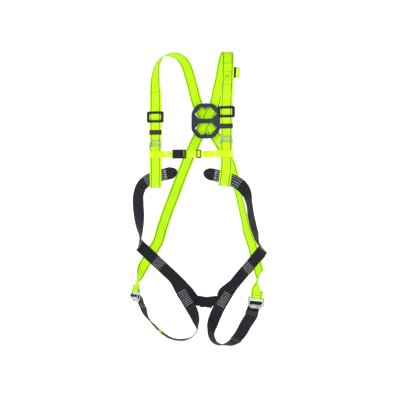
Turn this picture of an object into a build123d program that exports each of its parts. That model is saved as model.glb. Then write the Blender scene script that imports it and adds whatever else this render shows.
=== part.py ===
from build123d import *
import os

# A full-body harness of flat webbing with a dorsal plate, chest rings and leg buckles.
# Millimetres. The origin lies between the two shoulder crests, where the straps rest
# on the wearer. +X is the wearer's left, +Y is behind the wearer, +Z is up.
# Names that end in _r are on the wearer's right (-X), and in _l on the left (+X).

# ---- driving dimensions ------------------------------------------------------------

WEB_WIDTH = 45.0          # main webbing
WEB_THICK = 2.0
CHEST_WIDTH = 25.0        # narrow webbing across the chest
CHEST_THICK = 1.6
CLEAR = 0.3               # running clearance between separate pieces
LAYER_GAP = 0.6           # air between two layers that lie on each other
LAYER_STEP = WEB_THICK + LAYER_GAP
STEPS = 4                 # straight facets between two stations of a strap

FRONT_Y = -112.6          # centre of the front strap's thickness, and of the slides
FRONT_X = {"r": -140.0, "l": 130.0}
FRONT_FOOT_X = {"r": -139.0, "l": 121.0}
FRONT_FOOT_Z = {"r": -511.0, "l": -505.0}
HIP_Y = FRONT_Y + LAYER_STEP + 0.2

ADJUSTER_Z = {"r": -246.0, "l": -232.0}
ADJUSTER_SIZE = (WEB_WIDTH + 19.0, 42.0)
ADJUSTER_SIDE_ROOM = 1.2  # beside the webbing in each window
ADJUSTER_CORNER = 6.0
ADJUSTER_ROUNDING = 0.8
ADJUSTER_THICK = 4.0
ADJUSTER_BAR = 4.6        # height of each of its three bars
ADJUSTER_LEG = 16.0       # straight webbing above the middle bar
ADJUSTER_LOOP = 18.0
TAIL_TOP = {"r": 6, "l": 7}          # facets of the shoulder strap that the tail covers
TAIL_FOOT = 8.0           # straight part of the tail above the adjuster

KEEPER_Z = {"r": -303.0, "l": -284.0}
KEEPER_HEIGHT = 18.0
KEEPER_WALL = 1.6

CHEST_RING_Z = {"r": -360.0, "l": -349.0}
RING_BAND_DROP = {"r": 9.0, "l": 19.0}
CHEST_RING_SIZE = (WEB_WIDTH + 7.0, 31.0)
CHEST_RING_ROD = 4.4
CHEST_RING_CROSSBAR = 13.0   # height of the thin bar across it
CHEST_RING_CORNER = 4.0
RING_BAND_ROOM = 2.5      # beside the band that holds the ring, on each side

CHEST_Z = -385.0
BUCKLE_HEIGHT = 34.0
BUCKLE_DEPTH = 13.0
SOCKET_X = (-71.0, -40.0)
PLUG_HEAD_X = (-39.6, -21.0)
SOCKET_WALL = 2.5
SOCKET_BEHIND = 3.2       # how far the socket reaches behind the strap's front face
SOCKET_SLOT = 6.0         # depth of the slot for the webbing
PLUG_REACH = 24.0         # how far its arms stand inside the socket
PLUG_ARM = 4.0            # thickness of each arm
PLUG_ARM_HEIGHT = 5.0
PLUG_ARM_ROOM = 0.6       # between an arm and the wall beside it
PLUG_GUIDE_HEIGHT = 6.0
PLUG_WINDOW = 6.0
PLUG_SLOT = 7.0
STRAP_IN_SOCKET = 3.0
STRAP_IN_PLUG = 7.0
SLIDER_X = 26.0
SLIDER_WIDTH = 17.0
SLIDER_WALL = (1.8, 3.2)  # in front of and behind the webbing, above and below it

PLATE_CENTRE = (3.0, 106.5, -245.0)
PLATE_SIZE = (116.0, 140.0)
PLATE_THICK = 5.0
PLATE_BAR = 17.0          # height of its middle bar
PLATE_RIM = 17.0          # between a window and the top or bottom of the plate
PLATE_NOTCH = 7.0         # the window's outer side dips by this much in the middle
PLATE_CORNER = 9.0
PLATE_WINDOW_CORNER = 2.6

DORSAL_ROD = 8.0
DORSAL_RING_SIZE = (WEB_WIDTH + 43.0, 66.0)
DORSAL_RING_LEAN = 38.0   # degrees from hanging straight down
DORSAL_RING_CORNER = 9.0

LEG_RING_WINDOW = (WEB_WIDTH + 4.0, 25.0)
LEG_RING_SIZE = (LEG_RING_WINDOW[0] + 13.0, 43.0)
LEG_RING_THICK = 3.6
LEG_RING_BAR = 5.0
LEG_RING_CORNER = (13.0, 12.0)       # how much its lower corners are cut, across and up
LEG_PLATE_SIZE = (LEG_RING_WINDOW[0] + 7.0, 21.0)
LEG_PLATE_RIM = 2.4
LEG_PLATE_SIDE_ROOM = 0.8
LEG_PLATE_THICK = 3.0
LEG_PLATE_BAR = 4.6
LEG_PLATE_DROP = 17.0     # from the ring's top bar to the plate's bar
LEG_PLATE_OUT = 8.0       # in front of the ring

LOOP_SLACK = 0.8          # radial room of a sewn loop on its bar
LOOP_LENGTH = 16.0
PLATE_LOOP = 14.0         # the short loop on the leg plate's bar

HIP_LOOP_SIZE = (44.0, 20.0)

LABEL_HEIGHT = 44.0
LABEL_STRIP = 8.0
LABEL_FLAP = 14.0
LABEL_THICK = 2.6
LABEL_STATION = 14        # facets above the foot of the left shoulder strap


# ---- webbing -----------------------------------------------------------------------

def heading(a, b, c):
    """The direction of travel at b, between its neighbours a and c."""
    before, after = (b - a).length, (c - b).length
    return ((b - a) * (after / before) + (c - b) * (before / after)) * (1 / (before + after))


def smooth(a, b, c, d, u):
    """A point between b and c on a curve that passes smoothly through all four."""
    span = (c - b).length
    leave, arrive = heading(a, b, c) * span, heading(b, c, d) * span
    return (b * (2 * u ** 3 - 3 * u ** 2 + 1) + leave * (u ** 3 - 2 * u ** 2 + u)
            + c * (3 * u ** 2 - 2 * u ** 3) + arrive * (u ** 3 - u ** 2))


def stations(route, steps=STEPS):
    """Place, across and out vectors along a route of (x, y, z, facing x, y, z)."""
    points = [Vector(*p[:3]) for p in route]
    facings = [Vector(*p[3:]).normalized() for p in route]
    ends = [points[0] * 2 - points[1]] + points + [points[-1] * 2 - points[-2]]
    places, looks = [], []
    for i in range(len(route) - 1):
        for k in range(steps):
            u = k / steps
            places.append(smooth(ends[i], ends[i + 1], ends[i + 2], ends[i + 3], u))
            looks.append(facings[i] * (1 - u) + facings[i + 1] * u)
    places.append(points[-1])
    looks.append(facings[-1])
    result = []
    for i, place in enumerate(places):
        along = (places[min(i + 1, len(places) - 1)] - places[max(i - 1, 0)]).normalized()
        across = along.cross(looks[i]).normalized()
        result.append((place, across, across.cross(along).normalized()))
    return result


def sections(frames, width, thick):
    """The four corners of a flat section at each station."""
    rings = []
    for place, across, out in frames:
        side, rise = across * (width / 2), out * (thick / 2)
        rings.append([place - side - rise, place + side - rise,
                      place + side + rise, place - side + rise])
    return rings


def walls(rings):
    """Triangles along the four sides between one section and the next."""
    faces = []
    for start, end in zip(rings, rings[1:]):
        for k in range(4):
            faces += quad(start[k], start[(k + 1) % 4], end[(k + 1) % 4], end[k])
    return faces


def quad(a, b, c, d):
    return [Face(Wire.make_polygon([a, b, c], close=True)),
            Face(Wire.make_polygon([a, c, d], close=True))]


def band(frames):
    """A flat band of webbing through a list of stations, closed, with flat facets."""
    rings = sections(frames, WEB_WIDTH, WEB_THICK)
    return Solid(Shell(walls(rings) + quad(*rings[0]) + quad(*rings[-1])))


def sheath(frames, width, thick, wall):
    """A closed band round a strap, open at both ends, that bends with the strap."""
    inner = sections(frames, width, thick)
    outer = sections(frames, width + 2 * wall, thick + 2 * wall)
    faces = walls(inner) + walls(outer)
    for end in (0, -1):
        for k in range(4):
            after = (k + 1) % 4
            faces += quad(inner[end][k], inner[end][after], outer[end][after], outer[end][k])
    return Solid(Shell(faces))


def ribbon(route):
    return band(stations(route))


def layer(route, offset):
    """The same route, moved by an offset along its facing."""
    moved = []
    for p in route:
        out = Vector(*p[3:]).normalized() * offset
        moved.append((p[0] + out.X, p[1] + out.Y, p[2] + out.Z) + tuple(p[3:]))
    return moved


def across_plane(centre, facing, towards, distances):
    """Stations in a straight line on a plane, for places where straps lie on each other."""
    out = Vector(*facing).normalized()
    ahead = Vector(*towards)
    ahead = (ahead - out * ahead.dot(out)).normalized()
    made = []
    for distance in distances:
        place = Vector(*centre) + ahead * distance
        made.append((place.X, place.Y, place.Z, out.X, out.Y, out.Z))
    return made


def frame_at(centre, facing, up=(0, 0, 1), turn=0.0):
    """A plane whose z faces out, whose y is up the strap and whose x is across it."""
    out = Vector(*facing).normalized()
    side = Vector(*up).cross(out).normalized()
    side = side.rotate(Axis((0, 0, 0), out), turn)
    return Plane(origin=centre, x_dir=side, z_dir=out)


def in_frame(frame, x, y, z):
    """A local place in row coordinates."""
    place = frame.from_local_coords(Vector(x, y, z))
    return (place.X, place.Y, place.Z)


def sewn_loop(frame, bar_radius, towards, length=LOOP_LENGTH):
    """Webbing folded round a bar along the frame's x, with its ends sewn together."""
    inner = bar_radius + LOOP_SLACK
    outer = inner + WEB_THICK
    tip = WEB_THICK / 2
    outline = Circle(outer) + Polygon((-outer, 0), (outer, 0), (tip, length),
                                      (-tip, length), align=None)
    reach = length * 0.72
    hollow = Circle(inner) + Polygon((-inner, 0), (inner, 0), (0.2, reach),
                                     (-0.2, reach), align=None)
    profile = outline - hollow
    body = extrude(profile, amount=WEB_WIDTH / 2, both=True)
    # The profile's y becomes the way towards the strap, and its normal the bar's direction.
    plane = Plane(origin=frame.origin, x_dir=frame.x_dir.cross(towards).normalized() * -1,
                  z_dir=frame.x_dir)
    return plane * body


# ---- routes of the main webbing ----------------------------------------------------

# On each hip the black strap crosses the lime one, and runs on in the same plane.
CROSS_OUT = {"r": (-0.38, 0.92, 0.0), "l": (0.42, 0.9, 0.0)}
CROSS_AT = {"r": (-210.0, 58.0, -772.0), "l": (208.0, 56.0, -780.0)}
CROSS_HEAD_BLACK = {"r": (0.71, 0.17, -0.68), "l": (-0.67, 0.2, -0.71)}
CROSS_HEAD_LIME = {"r": (-0.48, -0.2, -0.85), "l": (0.24, -0.2, -0.95)}
# Each is flat for as long as the other's width needs; distances are along each strap.
FLAT = (WEB_WIDTH - 5.0, WEB_WIDTH + 5.0)
CROSS_BLACK = (-FLAT[1], -FLAT[0], 0.0, FLAT[0], 80.0, 122.0, 138.0)
CROSS_LIME = (-FLAT[1], -FLAT[0], 0.0, *FLAT)
SLEEVE = (-38.0, 0.0, 38.0, 50.0, 62.0)
THIGH_START = (66.0, 76.0, 108.0, 122.0)
BRIDGE_AT = (8.0, 102.0, -955.0)
BRIDGE_OUT = (0.0, 0.8, -0.6)
BRIDGE_HALF = (-46.0, -36.0, 0.0, 18.0, 26.0)

LEG_FRAME_AT = {"r": (-244.0, -20.0, -906.0), "l": (225.0, -20.0, -920.0)}
LEG_FACING = {"r": (-0.69, -0.72, 0.0), "l": (0.2, -0.98, 0.0)}
LEG_TURN = {"r": 0.0, "l": -6.0}
# The thigh strap below its buckle, in the buckle's frame: across it, up it and out of it.
THIGH_END = {"r": ((0, -70, -34), (0, -48, -23), (0, -31, -18)),
             "l": ((-12, -70, -8), (-8, -48, -12), (-3, -31, -15))}
# First and last facet of the strap under each of its keepers.
THIGH_KEEPERS = {"r": {"upper": (53, 56), "lower": (44, 45)},
                 "l": {"upper": (52, 55), "lower": (41, 42)}}

SHOULDER_Y = FRONT_Y + ADJUSTER_BAR / 2 + LOOP_SLACK + WEB_THICK / 2
FIRST_LAYER_Y = PLATE_CENTRE[1] + PLATE_THICK / 2 + DORSAL_ROD + 2 * CLEAR + WEB_THICK / 2
SECOND_LAYER_Y = FIRST_LAYER_Y + LAYER_STEP


def leg_frame(side):
    return frame_at(LEG_FRAME_AT[side], LEG_FACING[side], turn=LEG_TURN[side])


def crossing(side, colour, distances, offset):
    heads = CROSS_HEAD_BLACK if colour == "black" else CROSS_HEAD_LIME
    return layer(across_plane(CROSS_AT[side], CROSS_OUT[side], heads[side], distances),
                 offset)


def shoulder_route(side):
    """From the front adjuster over the shoulder, through the plate and down the back."""
    x = FRONT_X[side]
    top = ADJUSTER_Z[side] + ADJUSTER_LEG + CLEAR
    leg = leg_frame(side="l" if side == "r" else "r")
    if side == "r":
        y1, y2 = SECOND_LAYER_Y, SECOND_LAYER_Y + 1.0
        over = [
            (x, SHOULDER_Y, top, 0, -1, 0),
            (x, SHOULDER_Y, top + 24, 0, -1, 0),
            (-142, -105, -164, -0.1, -1, 0.08),
            (-146, -95, -116, -0.3, -0.95, 0.25),
            (-149, -78, -74, -0.6, -0.75, 0.4),
            (-145, -56, -34, -0.65, -0.55, 0.6),
            (-132, -30, -6, -0.5, -0.25, 0.85),
            (-110, 0, 4, -0.25, 0.05, 1),
            (-83, 30, -3, -0.02, 0.45, 0.9),
            (-67, 60, -28, 0, 0.8, 0.6),
            (-58, 88, -68, 0, 0.95, 0.35),
            (-49, 108, -114, 0, 1, 0.2),
            (-33, y1, -180, 0, 1, 0),
            (3, y1, -243, 0, 1, 0),
            (42, y1, -310, 0, 1, 0),
            (70, y2 + 1, -356, 0.15, 1, 0),
            (98, 119, -412, 0.35, 0.9, 0),
            (120, 118, -480, 0.6, 0.8, 0),
            (136, 114, -548, 0.7, 0.72, 0),
            (156, 100, -620, 0.66, 0.75, 0),
            (176, 82, -690, 0.5, 0.86, 0),
        ]
        cross = crossing("l", "lime", CROSS_LIME, LAYER_STEP)
        under = [(226, 20, -858, 0.9, 0.35, 0), (228, -4, -880, 0.85, -0.5, 0)]
    else:
        y1 = FIRST_LAYER_Y
        over = [
            (x, SHOULDER_Y, top, 0, -1, 0),
            (x, SHOULDER_Y, top + 24, 0, -1, 0),
            (131, -105, -152, 0, -1, 0.1),
            (130, -94, -108, 0, -0.95, 0.3),
            (128, -76, -64, 0, -0.85, 0.55),
            (123, -50, -26, 0, -0.6, 0.8),
            (116, -22, -4, 0, -0.3, 0.95),
            (107, 6, 4, 0, 0.1, 1),
            (94, 36, -8, 0, 0.5, 0.87),
            (80, 66, -36, 0, 0.8, 0.6),
            (66, 92, -78, 0, 0.95, 0.3),
            (51, 109, -124, 0, 1, 0.15),
            (35, y1, -180, 0, 1, 0),
            (2, y1, -243, 0, 1, 0),
            (-31, y1, -307, 0, 1, 0),
            (-53, y1, -352, -0.1, 1, 0),
            (-76, 118, -405, -0.2, 1, 0),
            (-102, 118, -468, -0.3, 0.95, 0),
            (-126, 115, -531, -0.34, 0.94, 0),
            (-150, 109, -595, -0.34, 0.94, 0),
            (-168, 92, -658, -0.38, 0.92, 0),
        ]
        cross = crossing("r", "lime", CROSS_LIME, LAYER_STEP)
        under = [(-243, 24, -846, -0.85, 0.45, 0), (-246, 0, -866, -0.95, -0.3, 0)]
    facing = LEG_FACING["l" if side == "r" else "r"]
    end = [in_frame(leg, 0, LOOP_LENGTH + reach, 0) + facing for reach in (10.0, 6.0, 2 * CLEAR)]
    return over + cross + under + end


def hip_route(side):
    """From the front textile loop round the hip and down to the seat."""
    if side == "r":
        front = [
            (-98.5, HIP_Y, -458, 0, -1, 0),
            (-112, HIP_Y, -461, 0, -1, 0),
            (-138, HIP_Y, -468, 0, -1, 0),
            (-164, HIP_Y, -478, 0, -1, 0),
            (-194, -101, -498, -0.2, -0.97, 0),
            (-213, -87, -530, -0.2, -0.95, 0),
            (-219, -74, -566, -0.1, -1, 0),
            (-220, -62, -606, -0.15, -0.98, 0),
            (-223, -46, -646, -0.4, -0.9, 0),
            (-229, -22, -688, -0.75, -0.65, 0),
            (-238, 10, -722, -0.98, 0.15, 0),
        ]
        seat = [(-68, 94, -914, -0.25, 0.95, 0.05)]
        head = (1, 0, -0.2)
    else:
        front = [
            (84.5, HIP_Y, -463, 0, -1, 0),
            (98, HIP_Y, -466, 0, -1, 0),
            (121, HIP_Y, -472, 0, -1, 0),
            (146, HIP_Y, -481, 0, -1, 0),
            (180, -101, -500, 0.35, -0.94, 0),
            (201, -87, -530, 0.8, -0.6, 0),
            (208, -74, -568, 0.95, -0.3, 0),
            (211, -60, -608, 0.93, -0.35, 0),
            (217, -44, -648, 0.93, -0.35, 0),
            (226, -20, -690, 0.97, -0.2, 0),
            (234, 14, -728, 0.9, 0.45, 0),
        ]
        seat = [(78, 92, -916, 0.25, 0.95, 0.05)]
        head = (-1, 0, -0.2)
    step = 0.0 if side == "r" else -LAYER_STEP
    bridge = layer(across_plane(BRIDGE_AT, BRIDGE_OUT, head, BRIDGE_HALF), step)
    return front + crossing(side, "black", CROSS_BLACK, 0.0) + seat + bridge


def thigh_route(side):
    """From the seat, under the thigh and up to the leg buckle."""
    start = crossing(side, "black", THIGH_START, -LAYER_STEP)
    if side == "r":
        rest = [
            (-86, 82, -918, -0.3, 0.94, 0),
            (-54, 78, -968, 0.1, 0.98, -0.15),
            (-28, 62, -1012, 0.5, 0.87, 0),
            (-15, 42, -1047, 0.95, 0.3, -0.1),
            (-26, 18, -1075, 0.7, 0.1, -0.7),
            (-60, -4, -1089, 0, 0, -1),
            (-101, -18, -1084, -0.2, -0.05, -1),
            (-142, -20, -1061, -0.5, -0.1, -0.86),
            (-178, -20, -1027, -0.72, -0.15, -0.65),
        ]
    else:
        rest = [
            (92, 80, -924, 0.3, 0.94, 0),
            (62, 76, -974, -0.1, 0.98, -0.15),
            (43, 60, -1024, -0.4, 0.9, 0),
            (38, 40, -1062, -0.9, 0.4, -0.1),
            (54, 16, -1092, -0.75, 0.2, -0.6),
            (92, -6, -1104, 0, -0.1, -1),
            (134, -16, -1091, 0.35, -0.6, -0.7),
            (164, -18, -1058, 0.35, -0.88, -0.35),
            (187, -19, -1018, 0.3, -0.93, -0.2),
        ]
    frame = leg_frame(side)
    facing = LEG_FACING[side]
    down = frame.y_dir * -1
    tip = LEG_PLATE_OUT - PLATE_LOOP - CLEAR
    turned = tuple(Vector(*facing) * 0.5 + down * 0.8)
    end = [in_frame(frame, *place) + facing for place in THIGH_END[side]]
    end += [
        in_frame(frame, 0, -LEG_PLATE_DROP - 4, tip - 6) + turned,
        in_frame(frame, 0, -LEG_PLATE_DROP, tip - 2.5) + tuple(down),
        in_frame(frame, 0, -LEG_PLATE_DROP, tip) + tuple(down),
    ]
    return start + rest + end


# ---- webbing pieces ----------------------------------------------------------------

def make_shoulder_straps(parts):
    for side in "rl":
        parts["shoulder_strap_" + side] = ribbon(shoulder_route(side))
        other = "l" if side == "r" else "r"
        frame = leg_frame(other)
        parts["leg_loop_" + other] = sewn_loop(frame, LEG_RING_BAR / 2, frame.y_dir)


def make_front_straps(parts):
    for side in "rl":
        x, z = FRONT_X[side], ADJUSTER_Z[side]
        bar = z - ADJUSTER_SIZE[1] / 2 + ADJUSTER_BAR / 2
        frame = frame_at((x, FRONT_Y, bar), (0, -1, 0))
        loop = sewn_loop(frame, ADJUSTER_BAR / 2, frame.y_dir * -1, ADJUSTER_LOOP)
        route = [(x, FRONT_Y, bar - ADJUSTER_LOOP - CLEAR, 0, -1, 0),
                 (x, FRONT_Y, CHEST_RING_Z[side], 0, -1, 0),
                 (x, FRONT_Y, CHEST_Z - 20, 0, -1, 0),
                 (x, FRONT_Y, CHEST_Z - 34, 0, -1, 0),
                 (FRONT_FOOT_X[side], FRONT_Y, FRONT_FOOT_Z[side], 0, -1, 0)]
        parts["front_strap_" + side] = ribbon(route)
        parts["adjuster_loop_" + side] = loop


def make_tails(parts):
    """The shoulder strap's end: round the adjuster's middle bar and back up on itself."""
    inner = ADJUSTER_BAR / 2 + LOOP_SLACK
    outer = inner + WEB_THICK
    turn = Circle(outer) - Circle(inner) - Pos(0, outer) * Rectangle(2 * outer, 2 * outer)
    for k in (-1, 1):
        turn += Pos(k * (inner + WEB_THICK / 2), ADJUSTER_LEG / 2) * Rectangle(WEB_THICK,
                                                                            ADJUSTER_LEG)
    for side in "rl":
        x, z = FRONT_X[side], ADJUSTER_Z[side]
        plane = Plane(origin=(x, FRONT_Y, z), x_dir=(0, 1, 0), z_dir=(1, 0, 0))
        parts["adjuster_turn_" + side] = plane * extrude(turn, amount=WEB_WIDTH / 2,
                                                         both=True)
        front = 2 * FRONT_Y - SHOULDER_Y
        start = z + ADJUSTER_LEG + CLEAR
        head = stations([(x, front, start, 0, -1, 0),
                         (x, front, start + TAIL_FOOT, 0, -1, 0)], 1)
        under = stations(shoulder_route(side))[STEPS:STEPS + TAIL_TOP[side]]
        over = [(place + out * LAYER_STEP, across, out) for place, across, out in under]
        parts["strap_tail_" + side] = band(head + over)


def make_hip_straps(parts):
    for side in "rl":
        parts["hip_strap_" + side] = ribbon(hip_route(side))
        parts["thigh_strap_" + side] = ribbon(thigh_route(side))
        frame = leg_frame(side)
        bar = Plane(origin=in_frame(frame, 0, -LEG_PLATE_DROP, LEG_PLATE_OUT),
                    x_dir=frame.x_dir, z_dir=frame.z_dir)
        parts["plate_loop_" + side] = sewn_loop(bar, LEG_PLATE_BAR / 2, frame.z_dir * -1,
                                                PLATE_LOOP)
        parts["strap_sleeve_" + side] = sleeve(side)
        start = hip_route(side)[0]
        inward = 1 if side == "r" else -1
        length, opening = HIP_LOOP_SIZE
        middle = start[0] + inward * (length / 2 + CLEAR)
        eye = Plane(origin=(middle, start[1], start[2] + 5.0),
                    x_dir=(inward, 0, 0.22), z_dir=(inward * -0.22, 0.0, 1))
        outline = SlotOverall(length, opening)
        outline -= SlotOverall(length - 2 * WEB_THICK, opening - 2 * WEB_THICK)
        parts["hip_loop_" + side] = eye * extrude(outline, amount=WEB_WIDTH / 2, both=True)


def sleeve(side):
    """The black layer behind the lime strap, sewn to the hip strap below it."""
    route = crossing(side, "black", SLEEVE, 2 * LAYER_STEP)
    route[-2:] = layer(route[-2:], -LAYER_STEP)
    return ribbon(route)


# ---- hardware ----------------------------------------------------------------------

def make_adjusters(parts):
    """Three-bar slides: the strap turns on the middle bar, the front strap hangs below."""
    width, height = ADJUSTER_SIZE
    slot = (height - 3 * ADJUSTER_BAR) / 2
    window = WEB_WIDTH + 2 * ADJUSTER_SIDE_ROOM
    for side in "rl":
        plate = RectangleRounded(width, height, ADJUSTER_CORNER)
        for k in (-1, 1):
            plate -= Pos(0, k * (slot + ADJUSTER_BAR) / 2) * Rectangle(window, slot)
        frame = Plane(origin=(FRONT_X[side], FRONT_Y, ADJUSTER_Z[side]), x_dir=(1, 0, 0),
                      z_dir=(0, -1, 0))
        body = extrude(plate, amount=ADJUSTER_THICK / 2, both=True)
        parts["adjuster_" + side] = frame * fillet(
            body.edges().filter_by(GeomType.CIRCLE), ADJUSTER_ROUNDING)


def band_round(centre, inner_x, inner_y, wall, height):
    """A rectangular band round a strap that faces the front."""
    outer = RectangleRounded(inner_x + 2 * wall, inner_y + 2 * wall, wall)
    ring = outer - Rectangle(inner_x, inner_y)
    return Pos(*centre) * extrude(ring, amount=height / 2, both=True)


def make_keepers(parts):
    for side in "rl":
        centre = (FRONT_X[side], FRONT_Y, KEEPER_Z[side])
        parts["keeper_" + side] = band_round(centre, WEB_WIDTH + 2 * CLEAR,
                                             WEB_THICK + 2 * CLEAR, KEEPER_WALL,
                                             KEEPER_HEIGHT)


def make_thigh_keepers(parts):
    """Elastic bands that hold the spare end of each thigh strap."""
    for side in "rl":
        frames = stations(thigh_route(side))
        for name, (first, last) in THIGH_KEEPERS[side].items():
            parts["thigh_keeper_" + name + "_" + side] = sheath(
                frames[first:last + 1], WEB_WIDTH + 2 * CLEAR, WEB_THICK + 2 * CLEAR,
                KEEPER_WALL)


def d_ring(width, height, rod, corner, crossbar=None):
    """A ring with a straight bar on x through the origin and an arch above it."""
    half = width / 2 - rod / 2
    top = height - rod
    path = FilletPolyline((-half, 0), (half, 0), (half, top * 0.45), (half * 0.55, top),
                          (-half * 0.55, top), (-half, top * 0.45),
                          radius=corner, close=True)
    start = path.edges()[0]
    section = Plane(origin=start @ 0, z_dir=start % 0) * Circle(rod / 2)
    ring = sweep(section, path=path)
    if crossbar:
        bar = Plane.YZ * Circle(rod / 2 - 0.4)
        bar = extrude(bar, amount=half, both=True)
        ring += Pos(0, crossbar, 0) * bar
    return ring


def make_chest_rings(parts):
    for side in "rl":
        y = FRONT_Y - WEB_THICK / 2 - CLEAR - WEB_THICK - LOOP_SLACK - CHEST_RING_ROD / 2
        origin = (FRONT_X[side], y, CHEST_RING_Z[side])
        ring = d_ring(*CHEST_RING_SIZE, CHEST_RING_ROD, CHEST_RING_CORNER,
                      CHEST_RING_CROSSBAR)
        frame = Plane(origin=origin, x_dir=(1, 0, 0), z_dir=(0, -1, 0))
        parts["chest_ring_" + side] = frame * ring
        inner = CHEST_RING_ROD / 2 + LOOP_SLACK
        outer = inner + WEB_THICK
        drop = RING_BAND_DROP[side]
        profile = Circle(outer) + Polygon((-outer, 0), (outer, 0),
                                          (-outer + WEB_THICK, -drop), (-outer, -drop),
                                          align=None)
        profile -= Circle(inner)
        plane = Plane(origin=origin, x_dir=(0, -1, 0), z_dir=(-1, 0, 0))
        span = CHEST_RING_SIZE[0] - 2 * CHEST_RING_ROD - 2 * RING_BAND_ROOM
        parts["ring_band_" + side] = plane * extrude(profile, amount=span / 2, both=True)


def make_chest_strap(parts):
    y = FRONT_Y - WEB_THICK / 2 - CLEAR - CHEST_THICK / 2
    for side in "rl":
        centre = (FRONT_X[side], FRONT_Y, CHEST_Z)
        wrap = band_round(centre, WEB_WIDTH + 2 * CLEAR, WEB_THICK + 2 * CLEAR,
                          CHEST_THICK, CHEST_WIDTH)
        edge = FRONT_X[side] + (1 if side == "r" else -1) * (WEB_WIDTH / 2 + CLEAR)
        far = SOCKET_X[0] + STRAP_IN_SOCKET if side == "r" else PLUG_HEAD_X[1] - STRAP_IN_PLUG
        strip = Pos((edge + far) / 2, y, CHEST_Z) * Box(abs(far - edge), CHEST_THICK,
                                                        CHEST_WIDTH)
        parts["chest_strap_" + side] = wrap + strip


def make_chest_buckle(parts):
    """A side-release buckle. The plug's two arms and guide stand inside the socket."""
    strap_y = FRONT_Y - WEB_THICK / 2 - CLEAR - CHEST_THICK / 2
    room_y, room_z = CHEST_THICK + 2 * CLEAR, CHEST_WIDTH + 2 * CLEAR
    body_y = strap_y - room_y / 2 - BUCKLE_DEPTH / 2 + SOCKET_BEHIND
    slot_y = strap_y - body_y

    length = SOCKET_X[1] - SOCKET_X[0]
    shell = Box(length, BUCKLE_DEPTH, BUCKLE_HEIGHT)
    shell = fillet(shell.edges().filter_by(Axis.X), 3.5)
    hollow_height = BUCKLE_HEIGHT - 2 * SOCKET_WALL
    hollow_depth = PLUG_ARM + 1.0
    hollow_length = PLUG_REACH + 1.5
    hollow_x = length / 2 - hollow_length / 2
    shell -= Pos(hollow_x, 0, 0) * Box(hollow_length, hollow_depth, hollow_height)
    side_window = Box(hollow_length - 2 * SOCKET_WALL, hollow_depth, BUCKLE_HEIGHT + 2)
    shell -= Pos(hollow_x + SOCKET_WALL, 0, 0) * side_window
    shell -= Pos(-length / 2, slot_y, 0) * Box(2 * SOCKET_SLOT, room_y, room_z)
    parts["chest_socket"] = Pos(sum(SOCKET_X) / 2, body_y, CHEST_Z) * shell

    length = PLUG_HEAD_X[1] - PLUG_HEAD_X[0]
    head = Box(length, BUCKLE_DEPTH - 3.0, BUCKLE_HEIGHT)
    head = fillet(head.edges().filter_by(Axis.Y), 4.0)
    head -= Pos(1.0, 0, 0) * Box(PLUG_WINDOW, BUCKLE_DEPTH, room_z)
    head -= Pos(length / 2 - PLUG_SLOT / 2 + CLEAR, slot_y, 0) * Box(PLUG_SLOT, room_y, room_z)
    arm_z = (hollow_height - PLUG_ARM_HEIGHT) / 2 - PLUG_ARM_ROOM
    arm = Box(PLUG_REACH, PLUG_ARM, PLUG_ARM_HEIGHT)
    for k in (-1, 1):
        head += Pos(-length / 2 - PLUG_REACH / 2, 0, k * arm_z) * arm
    guide_reach = PLUG_REACH * 0.7
    guide = Box(guide_reach, PLUG_ARM - 2 * CLEAR, PLUG_GUIDE_HEIGHT)
    head += Pos(-length / 2 - guide_reach / 2, 0, 0) * guide
    parts["chest_plug"] = Pos(sum(PLUG_HEAD_X) / 2, body_y, CHEST_Z) * head

    wall_y, wall_z = SLIDER_WALL
    slider = Box(SLIDER_WIDTH, room_y + 2 * wall_y, room_z + 2 * wall_z)
    slider = fillet(slider.edges().filter_by(Axis.X), 1.6)
    slider -= Box(SLIDER_WIDTH + 2, room_y, room_z)
    parts["chest_slider"] = Pos(SLIDER_X, strap_y, CHEST_Z) * slider


def make_dorsal_plate(parts):
    width, height = PLATE_SIZE
    a, b = width / 2, height / 2
    chamfer_x, chamfer_z = 24.0, 34.0
    outline = Polygon((-a, -b + chamfer_z), (-a + chamfer_x, -b + 4), (0, -b),
                      (a - chamfer_x, -b + 4), (a, -b + chamfer_z), (a, b - chamfer_z),
                      (a - chamfer_x, b - 4), (0, b), (-a + chamfer_x, b - 4),
                      (-a, b - chamfer_z), align=None)
    plate = fillet(outline.vertices(), PLATE_CORNER)
    top, mid = b - PLATE_RIM, PLATE_BAR / 2
    for k in (-1, 1):
        hole = Polygon((-27.0, k * mid), (27.0, k * mid), (46.0, k * (mid + 20)),
                       (20.0, k * top), (6.0, k * top), (0, k * (top - PLATE_NOTCH)),
                       (-6.0, k * top), (-20.0, k * top), (-46.0, k * (mid + 20)),
                       align=None)
        plate -= fillet(hole.vertices(), PLATE_WINDOW_CORNER)
    body = extrude(plate, amount=PLATE_THICK / 2, both=True)
    frame = Plane(origin=PLATE_CENTRE, x_dir=(1, 0, 0), z_dir=(0, -1, 0))
    parts["dorsal_plate"] = frame * body


def make_dorsal_ring(parts):
    bar_y = PLATE_CENTRE[1] + PLATE_THICK / 2 + CLEAR + DORSAL_ROD / 2
    ring = d_ring(*DORSAL_RING_SIZE, DORSAL_ROD, DORSAL_RING_CORNER)
    frame = Plane(origin=(PLATE_CENTRE[0], bar_y, PLATE_CENTRE[2]), x_dir=(-1, 0, 0),
                  z_dir=(0, 1, 0))
    lean = frame.rotated((DORSAL_RING_LEAN - 180, 0, 0))
    parts["dorsal_ring"] = lean * ring


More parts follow.
